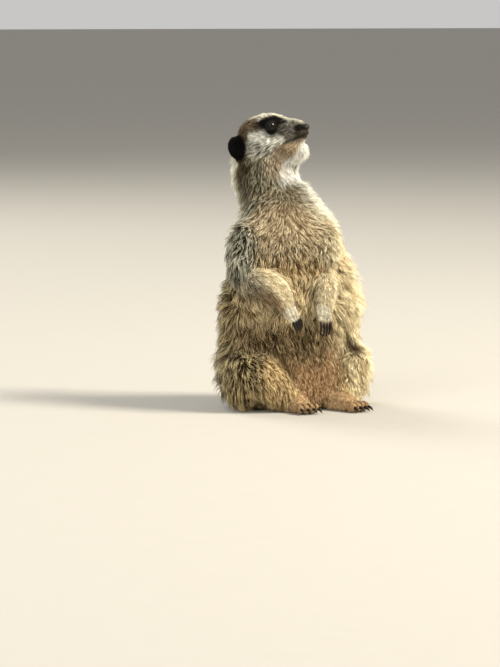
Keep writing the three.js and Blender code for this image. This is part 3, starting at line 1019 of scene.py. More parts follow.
        # Painted shade on the forearm's underside, which faces away from the lamps.
        lay(Patch.FOREARM_UNDER, 0.85 * step(0.1, 0.7, facing(self.normals, -0.55, 0.25, -0.8)) * forearm)
        lay(Patch.SHOULDER, 0.6 * step(-50, -60, self.points[:, 0]) * forearm)
        lay(Patch.PAW, self.on(Zone.FOREPAW))
        lay(Patch.SHANK, self.on(Zone.SHANK) * (1 - self.lit_leg()))
        lay(Patch.FOOT, self.on(Zone.HIND_FOOT))
        lay(Patch.TAIL, self.on(Zone.TAIL))
        lay(Patch.TAIL_TIP, self.on(Zone.TAIL) * self.near_tail_end())

    def near_tail_end(self) -> np.ndarray:
        """How far into the dark end of the tail the points lie, 0 to 1."""
        low, high = (np.array(v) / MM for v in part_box("tail_tip"))
        before_low, before_high = (np.array(v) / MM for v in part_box("tail_middle"))
        ahead = unit((low + high) / 2 - (before_low + before_high) / 2)
        reach = np.abs(ahead) @ (high - low) / 2
        return step(-0.35 * reach, 0.35 * reach, (self.points - (low + high) / 2) @ ahead)

    def paint_neck(self) -> None:
        """Colours the neck."""
        n, h, on, lay = self.normals, self.head, self.on(Zone.NECK), self.lay
        lay(Patch.NECK, on)
        # Painted rim light along the back of the neck, on the side that faces the rim lamp.
        lay(Patch.NAPE, on * step(0.66, 0.92, facing(n, -0.75, 0.65, 0.0)))
        lay(Patch.CHIN, 0.6 * on * step(-38, -30, h[:, 2]) * step(2, -8, h[:, 1]))
        # The white throat stripe is kept to the side that faces the key lamp, so part of it is painted light.
        front = step(-0.4, 0.1, facing(n, *self.lit_way))
        lay(Patch.WHITE, 0.92 * on * step(4.5, -3.5, self.from_throat()) * front)
        spot = np.hypot((h[:, 1] - 15.5) * 0.9, h[:, 2] + 20.0)
        lay(Patch.BEHIND_EAR, step(9.0, 4.5, spot) * step(14, 20, np.abs(h[:, 0])) * 0.8)

    def from_throat(self) -> np.ndarray:
        """How far the points lie outside the white stripe of the throat, in mm; the stripe is centred 6 mm towards the
        left side, which faces the key lamp, so its part on that side is painted light.
        """
        return np.abs(self.head[:, 0] - 6.0) - 8.4 - 0.42 * np.clip(-9.4 - self.head[:, 2], 0, 40)

    def paint_head(self) -> None:
        """Colours the head and the roots of the ears."""
        h, on, lay = self.head, self.on(Zone.HEAD), self.lay
        out, y, z = np.abs(h[:, 0]), h[:, 1], h[:, 2]
        lay(Patch.CHEEK, on)
        edge = np.interp(y, [-12.0, -6.0, 3.0, 10.0], [9.5, 7.0, 2.6, 1.2])
        lay(Patch.CROWN, on * step(-8, -3, y) * step(-1.2, 1.6, z - edge) * step(8, 12, out))
        lay(Patch.CROWN, on * step(-3, 3, y) * step(4, 9, z) * step(12, 8, out))
        limit = 13.0 + 6.8 * step(-14, -5, y)
        lay(Patch.BROW, on * step(0, 2.5, z - limit) * step(7, 1, y) * step(-32, -22, y))
        rear = -17.8 + 8.1 * step(-9.4, -15.3, z) + 2.4 * step(-15.3, -24.0, z)
        lay(Patch.CHIN, 0.95 * on * step(-6.5, -9.5, z) * step(7.0, -6.0, y - rear))
        lay(Patch.WHITE, on * step(-7, -10, z) * step(1.8, -1.8, self.from_throat()) * step(0, -10, y))
        lay(Patch.MUZZLE, on * step(-18.5, -23, y) * step(-7, -5, z) * step(14, 9, z))
        pale = line_gap(self.under_eye, h[:, 1:])
        lay(Patch.UNDER_EYE, on * step(3.8, 2.2, pale) * step(6, 9, out))
        lay(Patch.BROW, on * step(5.2, 3.0, out) * step(-18, -26, y) * step(5, 8, z))
        lay(Patch.MUZZLE_TIP, on * step(-37, -40, y) * step(3, 1, z))
        lay(Patch.MUZZLE_TIP, on * step(-31, -35, y) * step(1.5, -1.0, z) * step(-7.5, -6, z))
        lay(Patch.LIP, 0.85 * on * step(2.0, 0.8, Mouth().distance(h)) * step(-19, -24, y))
        spot = np.hypot((y + 38.5) * 0.75, (z - 2.4) * 1.1)
        lay(Patch.SNOUT, on * step(4.2, 2.8, spot) * step(1.5, 3.0, out))
        lay(Patch.EYE_PATCH, on * step(-0.8, 0.6, inside(self.eye_patch, y, z)) * step(3.8, 6.2, out))
        for eye in EYE_SHAPES:
            offset = h - eye.centre
            near = (np.linalg.norm(offset, axis=1) < eye.radius * 1.8) & (offset @ eye.axes()[0] > 0)
            lay(Patch.LID, on * near * step(0.14, 0.05, np.abs(eye.opening(offset) - 1.08)))
        by_ear = np.hypot((y - 17.5) / 9.5, (z + 1.5) / 11.5)
        lay(Patch.EAR, step(1.08, 0.92, by_ear) * step(16, 18.5, out))


@dataclass(frozen=True)
class NosePad:
    """The bare pad of the nose in the head's frame, in mm, with its nostrils and the groove under it."""

    at: Triple = (0.0, -41.1, 2.3)
    radii: Triple = (4.7, 3.5, 3.2)
    nostril: Pair = (2.2, -0.1)
    nostril_size: Pair = (0.95, 0.75)
    nostril_depth: float = 1.3
    groove: float = 0.32
    around: int = 84
    along: int = 60

    def covers(self, h: np.ndarray) -> np.ndarray:
        """Which points of the head lie on the pad, where no hair grows."""
        q = (h - np.array(self.at)) / (np.array(self.radii) * 1.1)
        return (np.linalg.norm(q, axis=1) < 1.0) & (h[:, 1] < self.at[1] + 1.2)

    def build(self) -> bpy.types.Object:
        """Makes the pad.

        Returns:
            The pad, with its colours.
        """
        turn = np.linspace(0, 2 * math.pi, self.around, endpoint=False)
        rise = np.linspace(0, math.pi, self.along + 1)[1:-1]
        ring, tilt = np.meshgrid(turn, rise)
        ball = np.stack([np.cos(ring) * np.sin(tilt), -np.cos(tilt), np.sin(ring) * np.sin(tilt)], axis=2)
        ball = np.vstack([ball.reshape(-1, 3), [[0, -1, 0]], [[0, 1, 0]]])
        shape, dark = self.sculpted(ball)
        obj = new_object("nose_pad", HEAD.to_model(shape), ball_faces(len(rise), self.around))
        set_values(obj.data, "marking", self.colours(ball, dark))
        return obj

    def sculpted(self, ball: np.ndarray) -> tuple[np.ndarray, np.ndarray]:
        """The pad's shape from a unit ball, and how deep in a nostril each point is."""
        x, y, z = ball.T
        wide = 1.0 + 0.1 * step(-0.6, 0.5, z) - 0.22 * step(-0.1, -1.0, z)
        shape = ball * np.array(self.radii) * np.stack([wide, 1 - 0.12 * step(0.3, 1.0, z), np.ones_like(z)], axis=1)
        front = step(0.15, -0.35, y)
        out = np.abs(shape[:, 0]) - self.nostril[0]
        up = shape[:, 2] - self.nostril[1] + 0.35 * out
        hole = np.exp(-((out / self.nostril_size[0]) ** 2) - (up / self.nostril_size[1]) ** 2) * front
        wing = np.exp(-(((out - 0.9) / 0.8) ** 2) - ((up + 0.5) / 0.35) ** 2) * front
        depth = self.nostril_depth * hole + 0.5 * wing
        groove = self.groove * np.exp(-((shape[:, 0] / 0.3) ** 2)) * step(0.3, -0.4, z) * front
        shape = shape - unit(ball) * (depth + groove)[:, None]
        return shape + np.array(self.at), np.clip(hole + 0.7 * wing, 0, 1)

    def colours(self, ball: np.ndarray, dark: np.ndarray) -> np.ndarray:
        """Brown black above, warmer below, and darkest in the nostrils, where shade is painted into their hollows."""
        low = step(0.1, -0.7, ball[:, 2])[:, None]
        base = linear(11, 8, 7) * (1 - low) + linear(26, 19, 16) * low
        # Painted shade in the nostrils' hollows.
        return base * (1 - dark[:, None]) + linear(3, 2, 2) * dark[:, None]


NOSE = NosePad()


@dataclass(frozen=True)
class Whorl:
    """A place from which the hair fans out, in mm, with its reach and how strongly it turns the hair."""

    at: Triple
    reach: float
    strength: float


@dataclass
class Growth:
    """What grows at each point of the skin: zones, coat numbers, colours and the way the hair lies."""

    skin: Skin
    calm_rounds: int = 30
    broad_rounds: int = 26
    swirls: int = 6
    swirl: float = 0.9
    whorls: tuple[Whorl, ...] = (
        Whorl((-62.0, -6.0, 98.0), 46.0, 0.75),
        Whorl((52.0, -2.0, 98.0), 46.0, 0.75),
        Whorl((-8.0, -36.0, 176.0), 60.0, 0.5),
        Whorl((0.0, -52.0, 84.0), 34.0, 0.3),
    )
    knees: tuple[Triple, ...] = ((46.0, -34.0, 60.0), (-62.0, -32.0, 50.0))
    targets: dict[str, str] = field(
        default_factory=lambda: {
            "upper_arm": "forearm",
            "forearm": "forepaw",
            "tail_base": "tail_middle",
            "tail_middle": "tail_tip",
        }
    )

    def __post_init__(self) -> None:
        """Works out every point's values."""
        surface = self.skin.surface
        self.normals = surface.normals()
        nodes = self.skin.finder.nodes(surface.points)
        zones = self.skin.finder.zone[nodes]
        self.weights = surface.smooth(np.eye(len(ZONES))[zones], 8)
        broad = surface.smooth(self.weights, self.broad_rounds)
        loose = part_of(broad, Zone.NECK, Zone.TRUNK, Zone.UPPER_ARM, Zone.THIGH, Zone.SHANK)
        share = step(0.9, 1.0, loose)[:, None]
        self.weights = self.weights * (1 - share) + broad * share
        own = np.array([{"_l": 1.0, "_r": -1.0}.get(name[-2:], 0.0) for name in self.names])
        side = np.where(own[nodes] == 0, np.sign(surface.points[:, 0]), own[nodes])
        self.numbers = np.column_stack([self.skin.numbers(surface.points, self.weights), surface.smooth(side, 4)])
        self.stand_out(surface.points)
        self.lie = self.swirled(surface.points, self.lie_field(surface, nodes))
        self.rows = surface.smooth(Markings(surface.points, self.normals, self.weights).rows(), 1)
        self.part_digits(surface)

    @property
    def names(self) -> tuple[str, ...]:
        """The nodes of the skin, in the finder's order."""
        return tuple(self.skin.finder.names)

    def part_digits(self, surface: Surface) -> None:
        """Paints shade into the grooves between the digits and by the claws, and bares them."""
        feet = part_of(self.weights, Zone.FOREPAW, Zone.HIND_FOOT)
        rise = ((surface.around(surface.points) - surface.points) * self.normals).sum(axis=1)
        digit = self.skin.digits(surface.points, self.weights)
        groove_shade = step(0.02, 0.14, surface.smooth(rise, 1)) * feet * (0.3 + 0.5 * digit)
        groove_shade = np.maximum(groove_shade, step(0.0, 0.7, self.skin.digit_lines.gaps(surface.points)) * feet)
        end = (0.15 * step(0.6, 1.0, digit) * part_of(self.weights, Zone.FOREPAW))[:, None]
        self.rows = self.rows * (1 - end) + Patch.TOE_END.value.row() * end
        # Painted shade: the grooves' colours are darkened.
        self.rows[:, :9] *= (1 - 0.92 * groove_shade)[:, None]
        vary(self.numbers, groove_shade, {DENSITY: -0.75, LENGTH: -0.6})

    def swirled(self, p: np.ndarray, lie: np.ndarray) -> np.ndarray:
        """Turns the lie a little this way and that over the loose fur.

        Args:
            p: the skin's points.
            lie: the way the hair lies there.

        Returns:
            The turned directions.
        """
        rng = np.random.default_rng(SEED + 2)
        waves = rng.normal(0, 1, (self.swirls, 3))
        waves = unit(waves) * (2 * math.pi / rng.uniform(24, 48, (self.swirls, 1)))
        noise = np.sin(p @ waves.T + rng.uniform(0, 6, self.swirls)).sum(axis=1) / math.sqrt(self.swirls)
        turn = np.radians(self.numbers[:, STRAY] * self.swirl) * noise
        return lie * np.cos(turn)[:, None] + np.cross(self.normals, lie) * np.sin(turn)[:, None]

    def stand_out(self, p: np.ndarray) -> None:
        """Lifts the hair of the left flank, the throat, the ruff and the forearms, and calms the knees'."""
        out, n, z = self.numbers, self.normals, p[:, 2]
        body = part_of(self.weights, Zone.TRUNK, Zone.UPPER_ARM, Zone.THIGH)
        flank = step(0.3, 0.75, facing(n, 0.87, -0.4, 0.0)) * step(70, 100, z) * body
        vary(out, flank, {LIFT: 0.4, CLUMP: -0.4})
        h = HEAD.to_head(p)
        throat = part_of(self.weights, Zone.HEAD) * step(-8, -14, h[:, 2]) * step(-8, -2, h[:, 0])
        vary(out, throat, {LIFT: 0.6, LENGTH: 0.35, STRAY: 0.6})
        ruff = step(0.35, 0.8, facing(n, 0.92, -0.4, 0.0)) * step(140, 165, z) * part_of(self.weights, Zone.TRUNK)
        vary(out, ruff, {LIFT: 0.6, STRAY: 0.9, LENGTH: 0.25})
        arm = part_of(self.weights, Zone.FOREARM)
        outer = step(0.2, 0.8, facing(n, 0.9, -0.1, 0.0)) * step(-5, 5, p[:, 0])
        edge = np.maximum(step(0.1, 0.8, facing(n, -0.55, 0.25, -0.8)), outer)
        out[:, LENGTH] *= 1 + 0.4 * arm * edge
        out[:, LIFT] *= 1 + 0.3 * arm * edge
        left, right = (away(p, at) for at in self.knees)
        vary(out, step(30, 14, np.minimum(left, right)), {LIFT: -0.4, LENGTH: -0.25})

    def way(self, name: str) -> np.ndarray:
        """The way the hair points on one node."""
        kind, _, end = name.rpartition("_") if name[-2:] in ("_l", "_r") else (name, "", "")
        after = self.targets.get(kind)
        if after is not None:
            other = after if not end else f"{after}_{end}"
            axis = main_way(node_triangles(name)[0])
            toward = self.middle(other) - self.middle(name)
            return axis if axis @ toward > 0 else -axis
        fixed = {
            "tail_tip": self.middle("tail_tip") - self.middle("tail_middle"),
            "forepaw": np.array([0.12, -0.4, -0.9]),
            "hind_foot": np.array([0.0, -1.0, -0.12]),
            "thigh": np.array([0.0, -0.6, -0.8]),
            "shank": np.array([0.0, -0.35, -0.95]),
        }
        return unit(fixed.get(kind, np.array([0.0, 0.1, -1.0])))

    def middle(self, name: str) -> np.ndarray:
        """The middle of a node's box, in mm."""
        return np.sum(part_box(name), axis=0) / 2 / MM

    def lie_field(self, surface: Surface, nodes: np.ndarray) -> np.ndarray:
        """The way the hair lies at each point, along the skin.

        Args:
            surface: the skin.
            nodes: the index of the node nearest to each point.

        Returns:
            A unit vector for each point.
        """
        raw = np.array([self.way(name) for name in self.names])[nodes]
        h = HEAD.to_head(surface.points)
        zones = self.skin.finder.zone[nodes]
        back = unit(h - np.array([0.0, -48.0, 3.0])) + np.array([0.0, 0.35, -0.12])
        for eye in EYE_SHAPES:
            gap = h - eye.centre
            back += unit(gap) * (1.1 * np.exp(-((np.linalg.norm(gap, axis=1) / 9.0) ** 2)))[:, None]
        sign = np.sign(h[:, :1])
        outward = np.concatenate([0.8 * sign, np.full_like(sign, 0.5), np.full_like(sign, 0.1)], axis=1)
        for zone, way in ((Zone.HEAD, back), (Zone.EAR, outward)):
            raw = np.where((zones == ZONES.index(zone))[:, None], unit(way) @ HEAD.turn().T, raw)
        body = np.isin(zones, [ZONES.index(z) for z in (Zone.TRUNK, Zone.THIGH, Zone.SHANK)])
        for whorl in self.whorls:
            gap = surface.points - np.array(whorl.at)
            far = np.linalg.norm(gap, axis=1)
            raw = raw + unit(gap) * (whorl.strength * np.exp(-((far / whorl.reach) ** 2)) * body)[:, None]
        lie = unit(raw)
        for _ in range(self.calm_rounds):
            lie = surface.smooth(lie, 1, 0.6)
            lie = unit(lie - self.normals * (lie * self.normals).sum(axis=1, keepdims=True))
        return lie


@dataclass
class Roots:
    """Where tufts are rooted, with the skin's values at each."""

    at: np.ndarray
    normal: np.ndarray
    lie: np.ndarray
    numbers: np.ndarray
    rows: np.ndarray
    weights: np.ndarray
    uv: np.ndarray

    def pick(self, chosen: np.ndarray) -> "Roots":
        """The roots that a mask or an index array chooses."""
        parts = (self.at, self.normal, self.lie, self.numbers, self.rows, self.weights, self.uv)
        return Roots(*(part[chosen] for part in parts))


@dataclass(frozen=True)
class Layer:
    """One layer of the coat, by its share of the tufts and how these differ from the zone's own."""

    share: float
    length: float
    width: float
    lift: float
    stray: float
    is_under: bool


UNDER = Layer(share=0.36, length=0.6, width=1.8, lift=0.75, stray=0.6, is_under=True)
GUARD = Layer(share=0.64, length=1.0, width=1.0, lift=1.0, stray=1.0, is_under=False)


STRETCHES: dict[str, tuple[Zone, ...]] = {
    "coat_face": (Zone.HEAD,),
    "coat_ears": (Zone.EAR,),
    "coat_neck": (Zone.NECK,),
    "coat_trunk": (Zone.TRUNK,),
    "coat_tail": (Zone.TAIL,),
    "coat_arm": (Zone.UPPER_ARM, Zone.FOREARM, Zone.FOREPAW),
    "coat_thigh": (Zone.THIGH,),
    "coat_foot": (Zone.SHANK, Zone.HIND_FOOT),
}
PAIRED = ("coat_arm", "coat_thigh", "coat_foot")


@dataclass
class Tufts:
    """Tufts of one make that grow from some roots, over the skin whose tree and face normals are given."""

    roots: Roots
    layer: Layer
    rings: int
    tree: BVHTree
    flat: np.ndarray
    rng: np.random.Generator
    bury: float = 0.35
    lock_gap: float = 0.26
    taper: float = 0.62
    flatness: float = 0.62
    off_floor: float = 0.3
    off_skin: float = 0.35
    deepest: float = 2.5

    def grown(self) -> Arrays:
        """Grows the tufts.

        Returns:
            For each tuft its root, corners, colours and place on the map, and the triangles of one tuft.
        """
        roots = self.roots
        self.lead, self.pull = self.locks()
        points, side = self.paths()
        points, keep = self.settled(points)
        width = roots.numbers[:, WIDTH] * self.layer.width * self.rng.normal(1.0, 0.15, len(keep)).clip(0.6, 1.5)
        corners = self.corners(points, side, width)
        colours = self.shades()
        return roots.at[keep], corners[keep], colours[keep], roots.uv[keep], self.faces()

    def locks(self) -> tuple[np.ndarray, np.ndarray]:
        """Gathers tufts into locks, each round one that leads it.

        Returns:
            For each tuft, the index of the one that leads it and how strongly that draws its tip.
        """
        roots = self.roots
        gap = roots.numbers[:, LENGTH] * self.lock_gap
        chance = 1.0 / np.maximum(roots.numbers[:, DENSITY] * gap**2, 1.5)
        leaders = np.flatnonzero(self.rng.random(len(gap)) < chance)
        leaders = leaders if len(leaders) else np.arange(1)
        tree = point_tree(roots.at[leaders])
        found = [tree.find(p) for p in roots.at.tolist()]
        lead = leaders[np.array([f[1] for f in found])]
        far = np.array([f[2] for f in found])
        alike = (roots.normal * roots.normal[lead]).sum(axis=1) > 0.6
        pull = roots.numbers[:, CLUMP] * alike * step(1.6, 0.9, far / gap)
        return lead, pull * self.rng.uniform(0.5, 1.3, len(gap))

    def paths(self) -> tuple[np.ndarray, np.ndarray]:
        """The centre line of each tuft.

        Returns:
            The points along each tuft, root first, and the tufts' own side directions.
        """
        roots, layer, lead, rings = self.roots, self.layer, self.lead, self.rings
        n = len(roots.at)
        own, shared = self.rng.normal(size=(5, n)), self.rng.normal(size=(5, n))[:, lead]
        stray = roots.numbers[:, STRAY] * layer.stray
        length = roots.numbers[:, LENGTH] * layer.length * (1 + 0.15 * own[0] + 0.1 * shared[0]).clip(0.5, 1.5)
        lift = np.radians(roots.numbers[:, LIFT] * layer.lift * (1 + 0.14 * own[1] + 0.18 * shared[1]).clip(0.4, 1.7))
        bend = np.radians(stray * (0.5 * own[2] + 0.85 * shared[2]))
        wave = 0.02 * stray * (0.6 * own[3] + 0.8 * shared[3])
        phase = 2.5 * shared[4] + 0.5 * own[4]
        side = np.cross(roots.normal, roots.lie)
        points = np.empty((n, rings + 1, 3))
        points[:, 0] = roots.at - roots.normal * self.bury
        for k in range(rings):
            s = (k + 0.5) / rings
            up = lift * (1.65 - 1.65 * s)
            turn = bend * (0.4 + s) + wave * np.sin(phase + s * 4.2)
            flat = roots.lie * np.cos(turn)[:, None] + side * np.sin(turn)[:, None]
            ahead = flat * np.cos(up)[:, None] + roots.normal * np.sin(up)[:, None]
            points[:, k + 1] = points[:, k] + ahead * (length / rings)[:, None]
        s = np.linspace(0, 1, rings + 1) ** 1.5
        toward = points[lead, -1] - points[:, -1]
        return points + toward[:, None, :] * (self.pull[:, None] * s[None, :])[:, :, None], side

    def settled(self, points: np.ndarray) -> tuple[np.ndarray, np.ndarray]:
        """Keeps tufts out of the skin and above the floor.

        Args:
            points: the points along each tuft.

        Returns:
            The moved points, and which tufts are kept.
        """
        rings = self.rings
        keep = np.ones(len(points), dtype=bool)
        for k in (rings, max(1, rings // 2)):
            tips = points[:, k]
            found = [self.tree.find_nearest(p) for p in tips.tolist()]
            near = np.array([tuple(f[0]) for f in found])
            face = self.flat[np.array([f[2] for f in found])]
            height = ((tips - near) * face).sum(axis=1)
            keep &= height > -self.deepest
            short = np.maximum(self.off_skin - height, 0)
            s = np.clip(np.arange(rings + 1) / k, 0, 1)
            points = points + (face * short[:, None])[:, None, :] * s[None, :, None]
        points[:, :, 2] = np.maximum(points[:, :, 2], self.off_floor)
        return points, keep

    def corners(self, points: np.ndarray, side: np.ndarray, width: np.ndarray) -> np.ndarray:
        """The corners of closed three-sided tapered bodies round centre lines.

        Args:
            points: the points along each tuft, root first.
            side: each tuft's side direction.
            width: each tuft's width at its root.

        Returns:
            A row of corners for each tuft: three for each ring, and the tip.
        """
        rings = self.rings
        ahead = unit(points[:, -1] - points[:, 0])
        up = unit(np.cross(ahead, side))
        across = np.cross(up, ahead)
        taper = 1 - self.taper * (np.arange(rings) / rings) ** 1.5
        out = np.empty((len(points), rings * 3 + 1, 3))
        for k in range(rings):
            half = (width * taper[k] / 2)[:, None]
            for j, a in enumerate(np.radians([90, 210, 330])):
                offset = across * math.cos(a) * half + up * math.sin(a) * half * self.flatness
                out[:, k * 3 + j] = points[:, k] + offset
        out[:, -1] = points[:, -1]
        return out

    def faces(self) -> np.ndarray:
        """The triangles of one tuft, in the order of its corners."""
        out = [(0, 2, 1)]
        for k in range(0, self.rings * 3 - 3, 3):
            for a, b in ((k, k + 1), (k + 1, k + 2), (k + 2, k)):
                out += [(a, b, b + 3), (a, b + 3, a + 3)]
        last, tip = self.rings * 3 - 3, self.rings * 3
        return np.array(out + [(last + j, last + (j + 1) % 3, tip) for j in range(3)])

    def shades(self) -> np.ndarray:
        """The colour at each corner of each tuft, as a row of colours for each."""
        roots, rings, rng = self.roots, self.rings, self.rng
        n = len(roots.at)
        root, body, tip = (roots.rows[:, k : k + 3] for k in (0, 3, 6))
        tone = rng.normal(size=n)[self.lead]
        kind = rng.random(n)
        frost = roots.rows[:, 9] * (1 + 0.3 * tone)
        pale = np.where(kind < frost, rng.uniform(0.7, 1.0, n), rng.uniform(0.0, 0.4, n))
        dark = (kind > 1 - 0.48 * (1 - frost))[:, None]
        dull = (rng.normal(1.0, 0.08, n) + 0.06 * tone).clip(0.72, 1.25)[:, None]
        colours = []
        for k in range(rings + 1):
            s = np.array(k / rings)
            if self.layer.is_under:
                whole = root * 0.8 + (body * 0.66 - root * 0.8) * step(0.0, 1.0, s)
            else:
                whole = root + (body - root) * step(0.0, 0.42, s)
                whole = whole + (tip - whole) * (pale * step(0.1, 0.6, s))[:, None]
                whole = np.where(dark, root + (body * 0.7 - root) * step(0.2, 1.0, s), whole)
            colours += [whole * dull] * (3 if k < rings else 1)
        return np.stack(colours, axis=1)


@dataclass
class Coat:
    """The tufts over the skin, one piece for each stretch of the body."""

    growth: Growth
    patch: float = 0.003
    margin: float = 0.004
    most: int = 11500
    long_hair: float = 6.5
    bare_rim: float = 1.24

    def __post_init__(self) -> None:
        """Prepares the skin's tree and the random numbers."""
        self.rng = np.random.default_rng(SEED)
        surface = self.growth.skin.surface
        self.tree = surface.tree()
        self.flat = unit(surface.face_normals())

    def build(self) -> list[bpy.types.Object]:
        """Grows the whole coat.

        Returns:
            Its pieces, each with its map and its colours.
        """
        made = []
        layers = [(layer, self.sown(layer)) for layer in (UNDER, GUARD)]
        for name, zones in STRETCHES.items():
            for side in Side if name in PAIRED else (None,):
                parts = [(layer, roots.pick(self.belongs(roots, zones, side))) for layer, roots in layers]
                made += self.pieces(f"{name}_{side.letter}" if side else name, parts)
        return made

    def belongs(self, roots: Roots, zones: Sequence[Zone], side: Optional[Side]) -> np.ndarray:
        """Which roots have one of the zones as their strongest, on one side of the body or, without a side, on both."""
        mine = np.isin(roots.weights.argmax(axis=1), [ZONES.index(z) for z in zones])
        return mine if side is None else mine & ((roots.numbers[:, SIDE] > 0) == (side is Side.LEFT))

    def sown(self, layer: Layer) -> Roots:
        """Spreads roots over the skin as densely as each zone grows.

        Args:
            layer: the layer that is sown.

        Returns:
            The roots.
        """
        growth, surface = self.growth, self.growth.skin.surface
        area = np.linalg.norm(surface.face_normals(), axis=1) / 2
        density = growth.numbers[surface.tris][:, :, DENSITY].mean(axis=1)
        wanted = area * density * layer.share
        counts = np.floor(wanted + self.rng.random(len(wanted))).astype(int)
        faces = np.repeat(np.arange(len(counts)), counts)
        mix = self.rng.random((len(faces), 2))
        over = mix.sum(axis=1) > 1
        mix[over] = 1 - mix[over]
        mix = np.column_stack([1 - mix.sum(axis=1), mix])
        tris = surface.tris[faces]

        def at(values: np.ndarray) -> np.ndarray:
            """The skin's values, mixed at the roots."""
            return np.einsum("nk,nkd->nd", mix, values[tris])

        uv = np.einsum("nk,nkd->nd", mix, self.corner_uv()[faces])
        roots = Roots(
            at(surface.points),
            unit(at(growth.normals)),
            unit(at(growth.lie)),
            at(growth.numbers),
            at(growth.rows),
            at(growth.weights),
            uv,
        )
        return roots.pick(self.clear_of_eyes(roots))

    def corner_uv(self) -> np.ndarray:
        """The skin's map at each corner of each triangle."""
        mesh = self.growth.skin.obj.data
        uv = np.empty(len(mesh.loops) * 2, dtype=np.float32)
        mesh.uv_layers["OFBake"].data.foreach_get("uv", uv)
        loops = np.empty(len(mesh.loop_triangles) * 3, dtype=np.int32)
        mesh.loop_triangles.foreach_get("loops", loops)
        return uv.reshape(-1, 2)[loops].reshape(-1, 3, 2)

    def clear_of_eyes(self, roots: Roots) -> np.ndarray:
        """Which roots are outside the eyes' openings and their bare rims, the nose and the mouth."""
        h = HEAD.to_head(roots.at)
        clear = np.ones(len(h), dtype=bool)
        for eye in EYE_SHAPES:
            offset = h - eye.centre
            near = np.linalg.norm(offset, axis=1) < eye.radius * 2
            clear &= ~(near & (eye.opening(offset) < self.bare_rim) & (offset @ eye.axes()[0] > 0))
        return clear & ~NOSE.covers(h)

    def pieces(self, name: str, parts: Sequence[tuple[Layer, Roots]]) -> list[bpy.types.Object]:
        """Makes the tufts of one stretch, in as many pieces as it needs.

        Args:
            name: the stretch's name.
            parts: each layer with its roots.

        Returns:
            The pieces.
        """
        bodies = []
        for layer, roots in parts:
            for is_long in (True, False):
                bends = (roots.numbers[:, LENGTH] > self.long_hair) & (not layer.is_under)
                some = roots.pick(bends == is_long)
                if len(some.at):
                    tufts = Tufts(some, layer, 3 if is_long else 2, self.tree, self.flat, self.rng)
                    bodies.append(tufts.grown())
        count = math.ceil(sum(len(body[0]) for body in bodies) / self.most)
        turn = [np.argsort(np.argsort(self.place(body[0]))) * count // max(len(body[0]), 1) for body in bodies]
        out = []
        for part in range(count):
            label = name if count == 1 else f"{name}_{part + 1}"
            out.append(self.joined(label, [self.chosen(body, t == part) for body, t in zip(bodies, turn)]))
        return out

    def place(self, roots: np.ndarray) -> np.ndarray:
        """A number that goes round the body, by which roots are put into pieces."""
        middle = roots.mean(axis=0)
        return np.arctan2(roots[:, 0] - middle[0], roots[:, 1] - middle[1])

    def chosen(self, body: Arrays, mask: np.ndarray) -> Arrays:
        """Some of the tufts of a body."""
        return tuple(part[mask] for part in body[:4]) + (body[4],)

    def joined(self, name: str, bodies: Sequence[Arrays]) -> bpy.types.Object:
        """One object from tufts of different make, with its map and colours.

        Args:
            name: the piece's name.
            bodies: the tufts, as Tufts.grown gives them.

        Returns:
            The object.
        """
        uv = np.concatenate([body[3] for body in bodies])
        low, high = uv.min(axis=0), uv.max(axis=0)
        span = np.maximum(high - low, 1e-4)
        parts, maps = [], []
        for _, corners, _, place, one in bodies:
            n, per = corners.shape[:2]
            faces = one[None] + (np.arange(n) * per)[:, None, None]
            parts.append((corners.reshape(-1, 3), faces.reshape(-1, 3)))
            across, along = self.patch_places(per)
            spot = self.margin + (1 - 2 * self.margin - self.patch) * (place - low) / span
            u = spot[:, :1] + across[None] * self.patch
            v = spot[:, 1:] + along[None] * self.patch
            maps.append(np.stack([u, v], axis=2).reshape(-1, 2))
        points, tris = merged(parts)
        obj = new_object(name, points, tris)
        set_values(obj.data, "marking", np.concatenate([body[2].reshape(-1, 3) for body in bodies]))
        layer = obj.data.uv_layers.new(name="OFBake")
        where = np.concatenate(maps)[tris.ravel()]
        layer.data.foreach_set("uv", where.astype(np.float32).ravel())
        return obj

    def patch_places(self, per: int) -> tuple[np.ndarray, np.ndarray]:
        """Where a tuft's corners lie on its own square of the map, across it and along it, 0 to 1."""
        rings = (per - 1) // 3
        across = np.array([0.5, 0.0, 1.0] * rings + [0.5])
        along = np.append(np.repeat(np.arange(rings) / rings, 3), 1.0)
        along[0] += 0.12
        return across, along


@dataclass(frozen=True)
class Eyeball:
    """One eyeball with its clear bulge over the iris."""

    shape: EyeShape
    bulge: float = 0.55
    bulge_deg: float = 34.0
    rings: int = 56
    around: int = 72

    def build(self) -> bpy.types.Object:
        """Makes the ball.

        Returns:
            The ball, with the angle from its gaze and the pupil's measure at each point.
        """
        shape = self.shape
        ahead, inward, over = shape.axes()
        theta = math.pi * (np.arange(1, self.rings) / self.rings) ** 1.5
        phi = np.linspace(0, 2 * math.pi, self.around, endpoint=False)
        t, f = (a.reshape(-1, 1) for a in np.meshgrid(theta, phi, indexing="ij"))
        flat = inward * np.cos(f) + over * np.sin(f)
        out = np.vstack([ahead * np.cos(t) + flat * np.sin(t), ahead[None], -ahead[None]])
        angle = np.degrees(np.arccos(np.clip(out @ ahead, -1, 1)))
        reach = shape.radius + self.bulge * np.exp(-((angle / self.bulge_deg) ** 2)) - 0.12
        points = HEAD.to_model(out * reach[:, None] + shape.centre)
        faces = ball_faces(self.rings - 1, self.around)
        if np.cross(inward, over) @ ahead < 0:
            faces = [face[::-1] for face in faces]
        obj = new_object(f"eyeball_{shape.side.letter}", points, faces)
        set_values(obj.data, "gaze_angle", angle)
        wide = np.hypot((out @ inward) / 1.7, out @ over)
        set_values(obj.data, "pupil_gap", np.degrees(np.arcsin(np.clip(wide, 0, 1))))
        return obj


